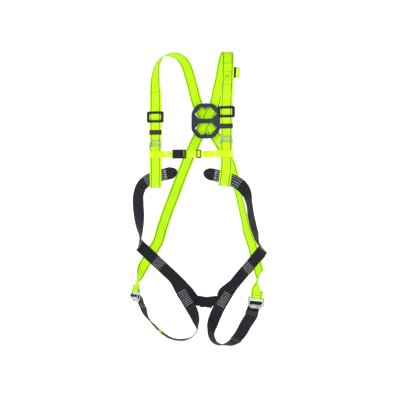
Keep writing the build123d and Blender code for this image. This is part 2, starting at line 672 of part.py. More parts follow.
def make_leg_buckles(parts):
    width, height = LEG_RING_SIZE
    cut_across, cut_up = LEG_RING_CORNER
    for side in "rl":
        frame = leg_frame(side)
        top = LEG_RING_BAR / 2
        low = top - height
        outline = Polygon((-width / 2, top), (width / 2, top), (width / 2, low + cut_up),
                          (width / 2 - cut_across, low), (cut_across - width / 2, low),
                          (-width / 2, low + cut_up), align=None)
        ring = fillet(outline.vertices(), 4.0)
        window_x, window_y = LEG_RING_WINDOW
        ring -= Pos(0, -top - window_y / 2) * RectangleRounded(window_x, window_y, 2.0)
        body = extrude(ring, amount=LEG_RING_THICK / 2, both=True)
        parts["leg_ring_" + side] = frame * body
        plate_w, plate_h = LEG_PLATE_SIZE
        plate = RectangleRounded(plate_w, plate_h, 3.0)
        slot = (plate_h - LEG_PLATE_BAR) / 2 - LEG_PLATE_RIM
        for k in (-1, 1):
            at = k * (LEG_PLATE_BAR + slot) / 2
            plate -= Pos(0, at) * Rectangle(WEB_WIDTH + 2 * LEG_PLATE_SIDE_ROOM, slot)
        body = extrude(plate, amount=LEG_PLATE_THICK / 2, both=True)
        body = Pos(0, -LEG_PLATE_DROP, LEG_PLATE_OUT) * body
        parts["leg_plate_" + side] = frame * body


# ---- label -------------------------------------------------------------------------

def make_label(parts):
    """A blank folded tab on the outer edge of the left shoulder strap."""
    middle, side, out = stations(shoulder_route("l"))[LABEL_STATION]
    along = side.cross(out)
    if side.X < 0:
        side = side * -1
    edge = WEB_WIDTH / 2 + 2 * CLEAR
    places = {"label_strip": edge + LABEL_STRIP / 2,
              "label_flap": edge + LABEL_STRIP + CLEAR + LABEL_FLAP / 2}
    sizes = {"label_strip": LABEL_STRIP, "label_flap": LABEL_FLAP}
    for name, at in places.items():
        plane = Plane(origin=middle + side * at, x_dir=side, z_dir=side.cross(along))
        parts[name] = plane * Box(sizes[name], LABEL_HEIGHT, LABEL_THICK)


def main():
    parts = {}
    make_shoulder_straps(parts)
    make_front_straps(parts)
    make_tails(parts)
    make_hip_straps(parts)
    make_adjusters(parts)
    make_keepers(parts)
    make_thigh_keepers(parts)
    make_chest_rings(parts)
    make_chest_strap(parts)
    make_chest_buckle(parts)
    make_dorsal_plate(parts)
    make_dorsal_ring(parts)
    make_leg_buckles(parts)
    make_label(parts)
    os.makedirs("parts", exist_ok=True)
    for name, shape in parts.items():
        export_step(shape, os.path.join("parts", name + ".step"))


main()
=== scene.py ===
import bisect
import math

import bmesh
import bpy
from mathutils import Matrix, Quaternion, Vector


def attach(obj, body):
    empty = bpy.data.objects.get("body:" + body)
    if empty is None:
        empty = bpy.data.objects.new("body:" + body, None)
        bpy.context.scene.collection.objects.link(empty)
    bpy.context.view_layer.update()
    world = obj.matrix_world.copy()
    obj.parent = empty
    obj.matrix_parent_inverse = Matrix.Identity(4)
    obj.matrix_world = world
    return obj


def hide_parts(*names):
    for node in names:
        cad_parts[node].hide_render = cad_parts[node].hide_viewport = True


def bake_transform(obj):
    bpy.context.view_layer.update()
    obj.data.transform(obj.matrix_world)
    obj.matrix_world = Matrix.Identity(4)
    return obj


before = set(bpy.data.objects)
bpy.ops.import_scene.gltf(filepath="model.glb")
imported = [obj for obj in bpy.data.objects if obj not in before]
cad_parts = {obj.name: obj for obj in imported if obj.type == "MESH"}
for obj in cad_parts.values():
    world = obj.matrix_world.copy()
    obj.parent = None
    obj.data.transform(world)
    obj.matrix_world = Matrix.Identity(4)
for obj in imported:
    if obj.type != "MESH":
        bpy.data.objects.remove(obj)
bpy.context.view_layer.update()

# A full-body harness of flat webbing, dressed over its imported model. The sizes and routes
# are in millimetres, and MM turns them into the frame's metres. +X is the wearer's left,
# +Y is behind the wearer, +Z is up. Names end in _r or _l for the wearer's right or left.

MM = 0.001
UP = Vector((0, 0, 1))
FORWARD = Vector((0, -1, 0))
RIGHT = Vector((1, 0, 0))

# ---- sizes -------------------------------------------------------------------------

WEB_WIDTH = 45.0
WEB_THICK = 2.0
CHEST_WIDTH = 25.0
CHEST_THICK = 1.6
CLEAR = 0.3
LAYER_GAP = 0.6
LAYER_STEP = WEB_THICK + LAYER_GAP
CAD_STEPS = 4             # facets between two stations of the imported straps
FINE = 12                 # facets between two stations here

FRONT_Y = -112.6
FRONT_X = {"r": -140.0, "l": 130.0}
FRONT_FOOT_X = {"r": -139.0, "l": 121.0}
FRONT_FOOT_Z = {"r": -511.0, "l": -505.0}
HIP_Y = FRONT_Y + LAYER_STEP + 0.2

ADJUSTER_Z = {"r": -246.0, "l": -232.0}
ADJUSTER_SIZE = (WEB_WIDTH + 19.0, 42.0)
ADJUSTER_SIDE_ROOM = 1.2
ADJUSTER_CORNER = 6.0
ADJUSTER_THICK = 4.0
ADJUSTER_BAR = 4.6
ADJUSTER_LEG = 16.0
ADJUSTER_LOOP = 18.0
TAIL_TOP = {"r": 6, "l": 7}
TAIL_FOOT = 8.0
TURN_DROP = 8.0           # slack of the turn below the adjuster's middle bar

KEEPER_Z = {"r": -303.0, "l": -284.0}
KEEPER_HEIGHT = 18.0
KEEPER_WALL = 1.6
KEEPER_CORNER = 0.9
RIB_DEPTH = 0.14          # of a keeper's wall

CHEST_RING_Z = {"r": -360.0, "l": -349.0}
RING_BAND_DROP = {"r": 9.0, "l": 19.0}
CHEST_RING_WIDTH = WEB_WIDTH + 7.0
CHEST_RING_ROD = 4.4
RING_BAND_ROOM = 2.5

CHEST_Z = -385.0
STRAP_END = {"r": -69.0, "l": -40.0}
CHEST_MARKS = {"r": (28.0,), "l": (82.0, 129.0)}  # sewn bands, measured from the strap's end
SLIDER_X = 26.0
SLIDER_SIZE = (17.0, 32.0)
SLIDER_WALL = (1.8, 3.0)  # in front of and behind the webbing, above and below it

PLATE_CENTRE = (3.0, 106.5, -245.0)
PLATE_SIZE = (116.0, 140.0)
PLATE_THICK = 5.0
PLATE_BAR = 17.0
PLATE_RIM = 17.0
PLATE_NOTCH = 7.0
PLATE_CUT = (24.0, 34.0)  # cut off each corner, before it is rounded
PLATE_ROUND = 30.0
PLATE_BULGE = 4.0         # top and bottom rise by this much towards the middle
PLATE_WINDOW = (27.0, 44.0, 20.0, 6.0)  # half widths at the bar, tips, far side and notch
PLATE_TIP = 20.0          # from the bar to the tips
DORSAL_ROD = 8.0

LEG_RING_WINDOW = (WEB_WIDTH + 4.0, 25.0)
LEG_RING_SIZE = (LEG_RING_WINDOW[0] + 13.0, 43.0)
LEG_RING_THICK = 3.6
LEG_RING_BAR = 5.0
LEG_RING_CORNER = (13.0, 12.0)
LEG_PLATE_SIZE = (LEG_RING_WINDOW[0] + 7.0, 21.0)
LEG_PLATE_THICK = 3.0
LEG_PLATE_BAR = 4.6
LEG_PLATE_RIM = 2.4
LEG_PLATE_SIDE_ROOM = 0.8
LEG_PLATE_DROP = 17.0
LEG_PLATE_OUT = 8.0

LOOP_SLACK = 0.8
LOOP_LENGTH = 16.0
PLATE_LOOP = 14.0
HIP_LOOP_SIZE = (44.0, 20.0)
HEM = 24.0                # webbing sewn back on itself behind a hip loop

LABEL_HEIGHT = 44.0
LABEL_STRIP = 8.0
LABEL_FLAP = 14.0
LABEL_THICK = 2.6
LABEL_STATION = 14

THREAD = 0.55             # radius of the sewing thread
ZIGZAG_STITCH = 1.25
PLAIN_STITCH = 3.4
TRACER_INSET = 6.2        # from the webbing's edge to its dark tracer line
OVERLAY = (34, 92)        # first and last facet of the left shoulder under its overlay
EYE_PINCH = 34.0          # length over which a hip loop narrows towards its tip
TACK_ROWS = (-16.5, -8.5, 0, 8.5, 16.5)
# First and last millimetre of the stitch patches along the straps.
FRONT_TACK = {"r": 88.0, "l": 102.0}
CROSS_TACK = {"r": (482.0, 572.0), "l": (484.0, 562.0)}
SEAT_TACK = {"r": (126.0, 184.0), "l": (118.0, 172.0)}
GOLD_SEAM = (345.0, 398.0)
GOLD_ROWS = (-14, -7, 0, 7, 14)

ADJUSTER_RIM = (9.5, 3.0)  # height of the bars in front of the webbing, and their depth
SAME_POINT = 0.00002      # metres
SHARP_EDGE = math.radians(40)


# ---- routes ------------------------------------------------------------------------

def heading(a, b, c):
    """The direction of travel at b, between its neighbours a and c."""
    before, after = (b - a).length, (c - b).length
    return ((b - a) * (after / before) + (c - b) * (before / after)) * (1 / (before + after))


def smooth(a, b, c, d, u):
    """A point between b and c on a curve that passes smoothly through all four."""
    span = (c - b).length
    leave, arrive = heading(a, b, c) * span, heading(b, c, d) * span
    return (b * (2 * u ** 3 - 3 * u ** 2 + 1) + leave * (u ** 3 - 2 * u ** 2 + u)
            + c * (3 * u ** 2 - 2 * u ** 3) + arrive * (u ** 3 - u ** 2))


def stations(route, steps=FINE):
    """Place, across and out vectors along a route of (x, y, z, facing x, y, z)."""
    points = [Vector(p[:3]) for p in route]
    facings = [Vector(p[3:]).normalized() for p in route]
    ends = [points[0] * 2 - points[1]] + points + [points[-1] * 2 - points[-2]]
    places, looks = [], []
    for i in range(len(route) - 1):
        for k in range(steps):
            u = k / steps
            places.append(smooth(ends[i], ends[i + 1], ends[i + 2], ends[i + 3], u))
            looks.append(facings[i] * (1 - u) + facings[i + 1] * u)
    places.append(points[-1])
    looks.append(facings[-1])
    result = []
    for i, place in enumerate(places):
        along = (places[min(i + 1, len(places) - 1)] - places[max(i - 1, 0)]).normalized()
        across = along.cross(looks[i]).normalized()
        result.append((place, across, across.cross(along).normalized()))
    return result


def layer(route, offset):
    """The same route, moved by an offset along its facing."""
    moved = []
    for p in route:
        place = Vector(p[:3]) + Vector(p[3:]).normalized() * offset
        moved.append((*place, *p[3:]))
    return moved


def across_plane(centre, facing, towards, distances):
    """Stations in a straight line on a plane, for places where straps lie on each other."""
    out = Vector(facing).normalized()
    ahead = Vector(towards)
    ahead = (ahead - out * ahead.dot(out)).normalized()
    return [(*(Vector(centre) + ahead * distance), *out) for distance in distances]


# On each hip the black strap crosses the lime one, and runs on in the same plane.
CROSS_OUT = {"r": (-0.38, 0.92, 0.0), "l": (0.42, 0.9, 0.0)}
CROSS_AT = {"r": (-210.0, 58.0, -772.0), "l": (208.0, 56.0, -780.0)}
CROSS_HEAD_BLACK = {"r": (0.71, 0.17, -0.68), "l": (-0.67, 0.2, -0.71)}
CROSS_HEAD_LIME = {"r": (-0.48, -0.2, -0.85), "l": (0.24, -0.2, -0.95)}
# Each is flat for as long as the other's width needs; distances are along each strap.
FLAT = (WEB_WIDTH - 5.0, WEB_WIDTH + 5.0)
CROSS_BLACK = (-FLAT[1], -FLAT[0], 0.0, FLAT[0], 80.0, 122.0, 138.0)
CROSS_LIME = (-FLAT[1], -FLAT[0], 0.0, *FLAT)
SLEEVE = (-38.0, 0.0, 38.0, 50.0, 62.0)
THIGH_START = (66.0, 76.0, 108.0, 122.0)
BRIDGE_AT = (8.0, 102.0, -955.0)
BRIDGE_OUT = (0.0, 0.8, -0.6)
BRIDGE_HALF = (-46.0, -36.0, 0.0, 18.0, 26.0)

LEG_FRAME_AT = {"r": (-244.0, -20.0, -906.0), "l": (225.0, -20.0, -920.0)}
LEG_FACING = {"r": (-0.69, -0.72, 0.0), "l": (0.2, -0.98, 0.0)}
LEG_TURN = {"r": 0.0, "l": -6.0}
# The thigh strap below its buckle, in the buckle's frame: across it, up it and out of it.
THIGH_END = {"r": ((0, -70, -34), (0, -48, -23), (0, -31, -18)),
             "l": ((-12, -70, -8), (-8, -48, -12), (-3, -31, -15))}
# First and last facet of the strap under each of its keepers.
THIGH_KEEPERS = {"r": {"upper": (53, 56), "lower": (44, 45)},
                 "l": {"upper": (52, 55), "lower": (41, 42)}}

SHOULDER_Y = FRONT_Y + ADJUSTER_BAR / 2 + LOOP_SLACK + WEB_THICK / 2
FIRST_LAYER_Y = PLATE_CENTRE[1] + PLATE_THICK / 2 + DORSAL_ROD + 2 * CLEAR + WEB_THICK / 2
SECOND_LAYER_Y = FIRST_LAYER_Y + LAYER_STEP


def leg_frame(side):
    """Origin, across, up and out of a leg buckle."""
    out = Vector(LEG_FACING[side]).normalized()
    across = Quaternion(out, math.radians(LEG_TURN[side])) @ UP.cross(out).normalized()
    return Vector(LEG_FRAME_AT[side]), across, out.cross(across), out


def in_frame(place, x, y, z):
    origin, across, up, out = place
    return tuple(origin + across * x + up * y + out * z)


def crossing(side, colour, distances, offset):
    heads = CROSS_HEAD_BLACK if colour == "black" else CROSS_HEAD_LIME
    return layer(across_plane(CROSS_AT[side], CROSS_OUT[side], heads[side], distances),
                 offset)


def shoulder_route(side):
    """From the front adjuster over the shoulder, through the plate and down the back."""
    x = FRONT_X[side]
    top = ADJUSTER_Z[side] + ADJUSTER_LEG + CLEAR
    leg = leg_frame(side="l" if side == "r" else "r")
    if side == "r":
        y1, y2 = SECOND_LAYER_Y, SECOND_LAYER_Y + 1.0
        over = [
            (x, SHOULDER_Y, top, 0, -1, 0),
            (x, SHOULDER_Y, top + 24, 0, -1, 0),
            (-142, -105, -164, -0.1, -1, 0.08),
            (-146, -95, -116, -0.3, -0.95, 0.25),
            (-149, -78, -74, -0.6, -0.75, 0.4),
            (-145, -56, -34, -0.65, -0.55, 0.6),
            (-132, -30, -6, -0.5, -0.25, 0.85),
            (-110, 0, 4, -0.25, 0.05, 1),
            (-83, 30, -3, -0.02, 0.45, 0.9),
            (-67, 60, -28, 0, 0.8, 0.6),
            (-58, 88, -68, 0, 0.95, 0.35),
            (-49, 108, -114, 0, 1, 0.2),
            (-33, y1, -180, 0, 1, 0),
            (3, y1, -243, 0, 1, 0),
            (42, y1, -310, 0, 1, 0),
            (70, y2 + 1, -356, 0.15, 1, 0),
            (98, 119, -412, 0.35, 0.9, 0),
            (120, 118, -480, 0.6, 0.8, 0),
            (136, 114, -548, 0.7, 0.72, 0),
            (156, 100, -620, 0.66, 0.75, 0),
            (176, 82, -690, 0.5, 0.86, 0),
        ]
        cross = crossing("l", "lime", CROSS_LIME, LAYER_STEP)
        under = [(226, 20, -858, 0.9, 0.35, 0), (228, -4, -880, 0.85, -0.5, 0)]
    else:
        y1 = FIRST_LAYER_Y
        over = [
            (x, SHOULDER_Y, top, 0, -1, 0),
            (x, SHOULDER_Y, top + 24, 0, -1, 0),
            (131, -105, -152, 0, -1, 0.1),
            (130, -94, -108, 0, -0.95, 0.3),
            (128, -76, -64, 0, -0.85, 0.55),
            (123, -50, -26, 0, -0.6, 0.8),
            (116, -22, -4, 0, -0.3, 0.95),
            (107, 6, 4, 0, 0.1, 1),
            (94, 36, -8, 0, 0.5, 0.87),
            (80, 66, -36, 0, 0.8, 0.6),
            (66, 92, -78, 0, 0.95, 0.3),
            (51, 109, -124, 0, 1, 0.15),
            (35, y1, -180, 0, 1, 0),
            (2, y1, -243, 0, 1, 0),
            (-31, y1, -307, 0, 1, 0),
            (-53, y1, -352, -0.1, 1, 0),
            (-76, 118, -405, -0.2, 1, 0),
            (-102, 118, -468, -0.3, 0.95, 0),
            (-126, 115, -531, -0.34, 0.94, 0),
            (-150, 109, -595, -0.34, 0.94, 0),
            (-168, 92, -658, -0.38, 0.92, 0),
        ]
        cross = crossing("r", "lime", CROSS_LIME, LAYER_STEP)
        under = [(-243, 24, -846, -0.85, 0.45, 0), (-246, 0, -866, -0.95, -0.3, 0)]
    facing = LEG_FACING["l" if side == "r" else "r"]
    end = [in_frame(leg, 0, LOOP_LENGTH + reach, 0) + facing for reach in (10.0, 6.0, 2 * CLEAR)]
    return over + cross + under + end


def hip_route(side):
    """From the front textile loop round the hip and down to the seat."""
    if side == "r":
        front = [
            (-98.5, HIP_Y, -458, 0, -1, 0),
            (-112, HIP_Y, -461, 0, -1, 0),
            (-138, HIP_Y, -468, 0, -1, 0),
            (-164, HIP_Y, -478, 0, -1, 0),
            (-194, -101, -498, -0.2, -0.97, 0),
            (-213, -87, -530, -0.2, -0.95, 0),
            (-219, -74, -566, -0.1, -1, 0),
            (-220, -62, -606, -0.15, -0.98, 0),
            (-223, -46, -646, -0.4, -0.9, 0),
            (-229, -22, -688, -0.75, -0.65, 0),
            (-238, 10, -722, -0.98, 0.15, 0),
        ]
        seat = [(-68, 94, -914, -0.25, 0.95, 0.05)]
        head = (1, 0, -0.2)
    else:
        front = [
            (84.5, HIP_Y, -463, 0, -1, 0),
            (98, HIP_Y, -466, 0, -1, 0),
            (121, HIP_Y, -472, 0, -1, 0),
            (146, HIP_Y, -481, 0, -1, 0),
            (180, -101, -500, 0.35, -0.94, 0),
            (201, -87, -530, 0.8, -0.6, 0),
            (208, -74, -568, 0.95, -0.3, 0),
            (211, -60, -608, 0.93, -0.35, 0),
            (217, -44, -648, 0.93, -0.35, 0),
            (226, -20, -690, 0.97, -0.2, 0),
            (234, 14, -728, 0.9, 0.45, 0),
        ]
        seat = [(78, 92, -916, 0.25, 0.95, 0.05)]
        head = (-1, 0, -0.2)
    step = 0.0 if side == "r" else -LAYER_STEP
    bridge = layer(across_plane(BRIDGE_AT, BRIDGE_OUT, head, BRIDGE_HALF), step)
    return front + crossing(side, "black", CROSS_BLACK, 0.0) + seat + bridge


def thigh_route(side):
    """From the seat, under the thigh and up to the leg buckle."""
    start = crossing(side, "black", THIGH_START, -LAYER_STEP)
    if side == "r":
        rest = [
            (-86, 82, -918, -0.3, 0.94, 0),
            (-54, 78, -968, 0.1, 0.98, -0.15),
            (-28, 62, -1012, 0.5, 0.87, 0),
            (-15, 42, -1047, 0.95, 0.3, -0.1),
            (-26, 18, -1075, 0.7, 0.1, -0.7),
            (-60, -4, -1089, 0, 0, -1),
            (-101, -18, -1084, -0.2, -0.05, -1),
            (-142, -20, -1061, -0.5, -0.1, -0.86),
            (-178, -20, -1027, -0.72, -0.15, -0.65),
        ]
    else:
        rest = [
            (92, 80, -924, 0.3, 0.94, 0),
            (62, 76, -974, -0.1, 0.98, -0.15),
            (43, 60, -1024, -0.4, 0.9, 0),
            (38, 40, -1062, -0.9, 0.4, -0.1),
            (54, 16, -1092, -0.75, 0.2, -0.6),
            (92, -6, -1104, 0, -0.1, -1),
            (134, -16, -1091, 0.35, -0.6, -0.7),
            (164, -18, -1058, 0.35, -0.88, -0.35),
            (187, -19, -1018, 0.3, -0.93, -0.2),
        ]
    buckle = leg_frame(side)
    facing = LEG_FACING[side]
    down = -buckle[2]
    tip = LEG_PLATE_OUT - PLATE_LOOP - CLEAR
    turned = tuple(Vector(facing) * 0.5 + down * 0.8)
    end = [in_frame(buckle, *place) + facing for place in THIGH_END[side]]
    end += [
        in_frame(buckle, 0, -LEG_PLATE_DROP - 4, tip - 6) + turned,
        in_frame(buckle, 0, -LEG_PLATE_DROP, tip - 2.5) + tuple(down),
        in_frame(buckle, 0, -LEG_PLATE_DROP, tip) + tuple(down),
    ]
    return start + rest + end


def sleeve_route(side):
    """The black layer behind the lime strap, sewn to the hip strap below it."""
    route = crossing(side, "black", SLEEVE, 2 * LAYER_STEP)
    route[-2:] = layer(route[-2:], -LAYER_STEP)
    return route


# ---- strap paths made of several routes --------------------------------------------

def facing_back(stretch):
    """The stretch walked the other way, with the same face outwards."""
    return [(place, -across, out) for place, across, out in reversed(stretch)]


def other_face(stretch):
    """The stretch walked the same way, with its other face outwards."""
    return [(place, -across, -out) for place, across, out in stretch]


def bar_loop(centre, towards, front, radius, length, spare):
    """From the end of a strap round a bar and back behind the strap, where it is sewn.
    'towards' points from the bar to the strap, and the strap passes in 'front' first."""
    lower = radius * math.sin(math.pi / 4)
    back = -(WEB_THICK + 0.5)
    turns = [(length, 0, 0, 1), (length * 0.5, radius * 0.6, 0.2, 1), (0, radius, 0, 1),
             (-lower, lower, -1, 1), (-radius, 0, -1, 0), (-lower, -lower, -1, -1),
             (0, -radius, 0, -1), (length * 0.5, (back - radius) / 2, 0, -1),
             (length, back, 0, -1), (length + spare, back, 0, -1)]
    route = []
    for up, out, look_up, look_out in turns:
        place = centre + towards * up + front * out
        route.append((*place, *(towards * look_up + front * look_out)))
    return stations(route, 4)


def shoulder_path(side):
    """Tail, turn on the adjuster, shoulder, back, and the sewn loop on the leg buckle."""
    x, z = FRONT_X[side], ADJUSTER_Z[side]
    radius = SHOULDER_Y - FRONT_Y
    front = FRONT_Y - radius
    top = z + ADJUSTER_LEG + CLEAR
    coarse = stations(shoulder_route(side), CAD_STEPS)[CAD_STEPS:CAD_STEPS + TAIL_TOP[side]]
    over = [(*(place + out * LAYER_STEP), *out) for place, across, out in coarse]
    tail = [(x, front, top, 0, -1, 0), (x, front, top + TAIL_FOOT, 0, -1, 0)] + over
    turn = [(x, front, top, 0, -1, 0), (x, front, z + 4, 0, -1, 0)]
    for step in range(9):
        angle = math.pi * step / 8
        out, down = math.cos(angle), math.sin(angle)
        turn.append((x, FRONT_Y - radius * out, z - TURN_DROP - radius * down,
                     0, -out, -down))
    turn += [(x, SHOULDER_Y, z + 4, 0, 1, 0), (x, SHOULDER_Y, top - CLEAR, 0, 1, 0)]
    origin, across, up, out = leg_frame("l" if side == "r" else "r")
    loop = bar_loop(origin, up, out, LEG_RING_BAR / 2 + LOOP_SLACK + WEB_THICK / 2,
                    LOOP_LENGTH, 8.0)
    down_tail = [(place, across, -out) for place, across, out in reversed(stations(tail, 4))]
    turning = other_face(stations(turn, 3))
    return down_tail + turning[1:] + stations(shoulder_route(side)) + loop


def front_path(side):
    """The sewn loop on the adjuster's lower bar, and the strap down to the hip."""
    x, z = FRONT_X[side], ADJUSTER_Z[side]
    bar = z - ADJUSTER_SIZE[1] / 2 + ADJUSTER_BAR / 2
    radius = ADJUSTER_BAR / 2 + LOOP_SLACK + WEB_THICK / 2
    loop = bar_loop(Vector((x, FRONT_Y, bar)), -UP, FORWARD, radius, ADJUSTER_LOOP, -2.0)
    run = [(x, FRONT_Y, bar - ADJUSTER_LOOP - CLEAR, 0, -1, 0),
           (x, FRONT_Y, CHEST_RING_Z[side], 0, -1, 0),
           (x, FRONT_Y, CHEST_Z - 20, 0, -1, 0),
           (x, FRONT_Y, CHEST_Z - 34, 0, -1, 0),
           (FRONT_FOOT_X[side], FRONT_Y, FRONT_FOOT_Z[side], 0, -1, 0)]
    return facing_back(loop) + stations(run)


def hip_path(side):
    """The sewn eye at the front, and the strap round the hip to the seat."""
    route = hip_route(side)
    start = Vector(route[0][:3])
    inward = Vector((1 if side == "r" else -1, 0, 0.22)).normalized()
    length, opening = HIP_LOOP_SIZE
    half = opening / 2 - WEB_THICK / 2
    behind = LAYER_STEP
    tip = length - WEB_THICK / 2
    shape = [(-HEM, behind, 0, 1), (-6, behind, 0, 1), (4, behind + 1.6, 0, 1),
             (16, half - 1, 0, 1), (28, half, 0, 1), (tip - 5, half * 0.75, 0.7, 0.7),
             (tip, 0, 1, 0), (tip - 5, -half * 0.75, 0.7, -0.7), (28, -half, 0, -1),
             (16, -half + 1.4, 0, -1), (4, -2.4, 0, -1)]
    eye = []
    for ahead, back, look_ahead, look_back in shape:
        place = start + inward * ahead - FORWARD * back
        eye.append((*place, *(inward * look_ahead - FORWARD * look_back)))
    return stations(eye + route[:1], 5)[:-1] + stations(route)


def thigh_path(side):
    """From the seat under the thigh to the sewn loop on the leg plate."""
    origin, across, up, out = leg_frame(side)
    bar = Vector(in_frame((origin, across, up, out), 0, -LEG_PLATE_DROP, LEG_PLATE_OUT))
    loop = bar_loop(bar, -out, -up, LEG_PLATE_BAR / 2 + LOOP_SLACK + WEB_THICK / 2,
                    PLATE_LOOP, 2.0)
    return stations(thigh_route(side)) + loop


def ring_band_path(side):
    """Over the foot of a chest ring, sewn down on the front strap."""
    y = FRONT_Y - WEB_THICK / 2 - CLEAR - WEB_THICK - LOOP_SLACK - CHEST_RING_ROD / 2
    z = CHEST_RING_Z[side]
    radius = CHEST_RING_ROD / 2 + LOOP_SLACK + WEB_THICK / 2
    drop = RING_BAND_DROP[side]
    x = FRONT_X[side]
    route = [(x, y + radius, z - drop, 0, 1, 0), (x, y + radius, z - drop / 2, 0, 1, 0)]
    for step in range(7):
        angle = math.pi * step / 6
        back, rise = math.cos(angle), math.sin(angle)
        route.append((x, y + radius * back, z + radius * rise, 0, back, rise))
    near = y + radius - LAYER_STEP + 0.4
    route += [(x, (y - radius + near) / 2, z - drop * 0.5, 0, -1, 0),
              (x, near, z - drop * 0.9, 0, -1, 0)]
    return stations(route, 4)


def chest_path(side):
    """Round the front strap, sewn, and on to the buckle."""
    sign = 1 if side == "r" else -1
    near = FRONT_X[side] + sign * (WEB_WIDTH / 2 + CLEAR)
    far = FRONT_X[side] - sign * (WEB_WIDTH / 2 + CLEAR + CHEST_THICK / 2)
    room = WEB_THICK / 2 + CLEAR + CHEST_THICK / 2
    front, back = FRONT_Y - room, FRONT_Y + room
    end = STRAP_END[side]
    shape = [(near + sign * 14, front + 1.9, 0, 1), (near + sign * 3, front + 1.9, 0, 1),
             (near - sign * 1, back - 0.4, 0, 1), (near - sign * 5, back, 0, 1),
             (far + sign * 3, back, 0, 1), (far + sign * 0.5, back - 0.7, -sign, 1),
             (far, FRONT_Y, -sign, 0), (far + sign * 0.5, front + 0.7, -sign, -1),
             (far + sign * 3, front, 0, -1), (near, front, 0, -1),
             ((near + end) / 2, front, 0, -1), (end, front, 0, -1)]
    return stations([(x, y, CHEST_Z, look_x, look_y, 0) for x, y, look_x, look_y in shape], 6)


def label_run(at):
    """Stations along the label tab, whose middle lies 'at' from the strap's middle."""
    middle, side, out = stations(shoulder_route("l"), CAD_STEPS)[LABEL_STATION]
    along = side.cross(out)
    if side.x < 0:
        side = -side
    half = along * (LABEL_HEIGHT / 2)
    centre = middle + side * at
    return [(centre + half * k, side, side.cross(along)) for k in (-1, -0.5, 0, 0.5, 1)]


# ---- meshes ------------------------------------------------------------------------

# Half of a webbing's section, from its edge to its middle: distance from the edge in
# millimetres, and height as a share of half the thickness. The edge is a round selvedge.
SELVEDGE = [(0.0, 0.0), (0.12, 0.5), (0.5, 0.86), (1.1, 1.0), (2.2, 1.0), (3.4, 0.9),
            (TRACER_INSET - 1.1, 0.92), (TRACER_INSET - 0.45, 1.04),
            (TRACER_INSET + 0.45, 1.04), (TRACER_INSET + 1.1, 0.92)]


def section_points(width, thick):
    """Points round a webbing's section as (across, out)."""
    half = [(d, h) for d, h in SELVEDGE if d < width / 2 - 1] + [(width / 2, 0.96)]
    face = [(d - width / 2, h * thick / 2) for d, h in half]
    face += [(-x, h) for x, h in reversed(face[:-1])]
    return face + [(x, -h) for x, h in reversed(face[1:-1])]


def new_piece(name, points, faces, finish, lay=None):
    """A smooth mesh from places in millimetres. 'lay' is where each point lies on its
    webbing: across it, along it and out of it."""
    mesh = bpy.data.meshes.new(name)
    mesh.from_pydata([Vector(p) * MM for p in points], [], faces)
    mesh.validate()
    mesh.update()
    mesh.polygons.foreach_set("use_smooth", [True] * len(mesh.polygons))
    if lay:
        attribute = mesh.attributes.new("lay", "FLOAT_VECTOR", "POINT")
        attribute.data.foreach_set("vector", [c * MM for row in lay for c in row])
    mesh.materials.append(finish)
    piece = bpy.data.objects.new(name, mesh)
    bpy.context.scene.collection.objects.link(piece)
    return piece


def closed_shell(piece, merge=0.0):
    """Faces turned outwards, after points nearer than a distance in metres are merged."""
    shell = bmesh.new()
    shell.from_mesh(piece.data)
    if merge:
        bmesh.ops.remove_doubles(shell, verts=shell.verts, dist=merge)
    bmesh.ops.recalc_face_normals(shell, faces=shell.faces)
    shell.to_mesh(piece.data)
    shell.free()
    return piece


def travelled(stretch):
    """Distance from the start of the stretch to each station."""
    lengths = [0.0]
    for a, b in zip(stretch, stretch[1:]):
        lengths.append(lengths[-1] + (b[0] - a[0]).length)
    return lengths


def thinned(stretch):
    """The stretch without stations that lie on each other."""
    kept = [stretch[0]]
    for station in stretch[1:]:
        if (station[0] - kept[-1][0]).length > 0.35:
            kept.append(station)
    return kept


def webbing(name, stretch, finish, width=WEB_WIDTH, thick=WEB_THICK, shape=None):
    """A band of webbing with round selvedges through a list of stations. Where it is
    shaped, it is narrower by a factor, and its edges curl behind it by a distance."""
    stretch = thinned(stretch)
    section = section_points(width, thick)
    count = len(section)
    points, lay, faces = [], [], []
    for (place, across, out), along in zip(stretch, travelled(stretch)):
        narrow, curl = shape(along) if shape else (1.0, 0.0)
        for x, rise in section:
            bent = rise - curl * (2 * x / width) ** 2
            points.append(place + across * (x * narrow) + out * bent)
            lay.append((x, along, rise))
    for i in range(len(stretch) - 1):
        for k in range(count):
            after = (k + 1) % count
            a, b = i * count, (i + 1) * count
            faces.append((a + k, a + after, b + after, b + k))
    last = (len(stretch) - 1) * count
    faces.append(tuple(range(count)))
    faces.append(tuple(last + k for k in reversed(range(count))))
    return closed_shell(new_piece(name, points, faces, finish, lay))


def sheath(name, stretch, finish, wall=KEEPER_WALL):
    """A ribbed elastic band round a strap, open at both ends."""
    width, thick = WEB_WIDTH + 2 * CLEAR, WEB_THICK + 2 * CLEAR
    points, lay, faces, rings = [], [], [], []
    for inside in (False, True):
        for row, (place, across, out) in enumerate(stretch):
            rib = 1 - RIB_DEPTH + RIB_DEPTH * math.cos(math.pi * row)
            grow = 0.0 if inside else wall * rib
            half_x, half_y, corner = width / 2 + grow, thick / 2 + grow, KEEPER_CORNER + grow
            ring = []
            for quarter, (side, face) in enumerate(((1, 1), (-1, 1), (-1, -1), (1, -1))):
                for k in range(5):
                    turn = math.pi / 2 * (quarter + k / 4)
                    x = side * (half_x - corner) + corner * math.cos(turn)
                    y = face * max(half_y - corner, 0.0)
                    y += min(corner, half_y) * math.sin(turn)
                    ring.append(len(points))
                    points.append(place + across * x + out * y)
                    lay.append((x, row * KEEPER_HEIGHT / len(stretch), y))
            rings.append(ring)
    rows = len(stretch)
    order = rings[:rows] + rings[:rows - 1:-1] + rings[:1]
    for a, b in zip(order, order[1:]):
        for k in range(len(a)):
            after = (k + 1) % len(a)
            faces.append((a[k], a[after], b[after], b[k]))
    return closed_shell(new_piece(name, points, faces, finish, lay))


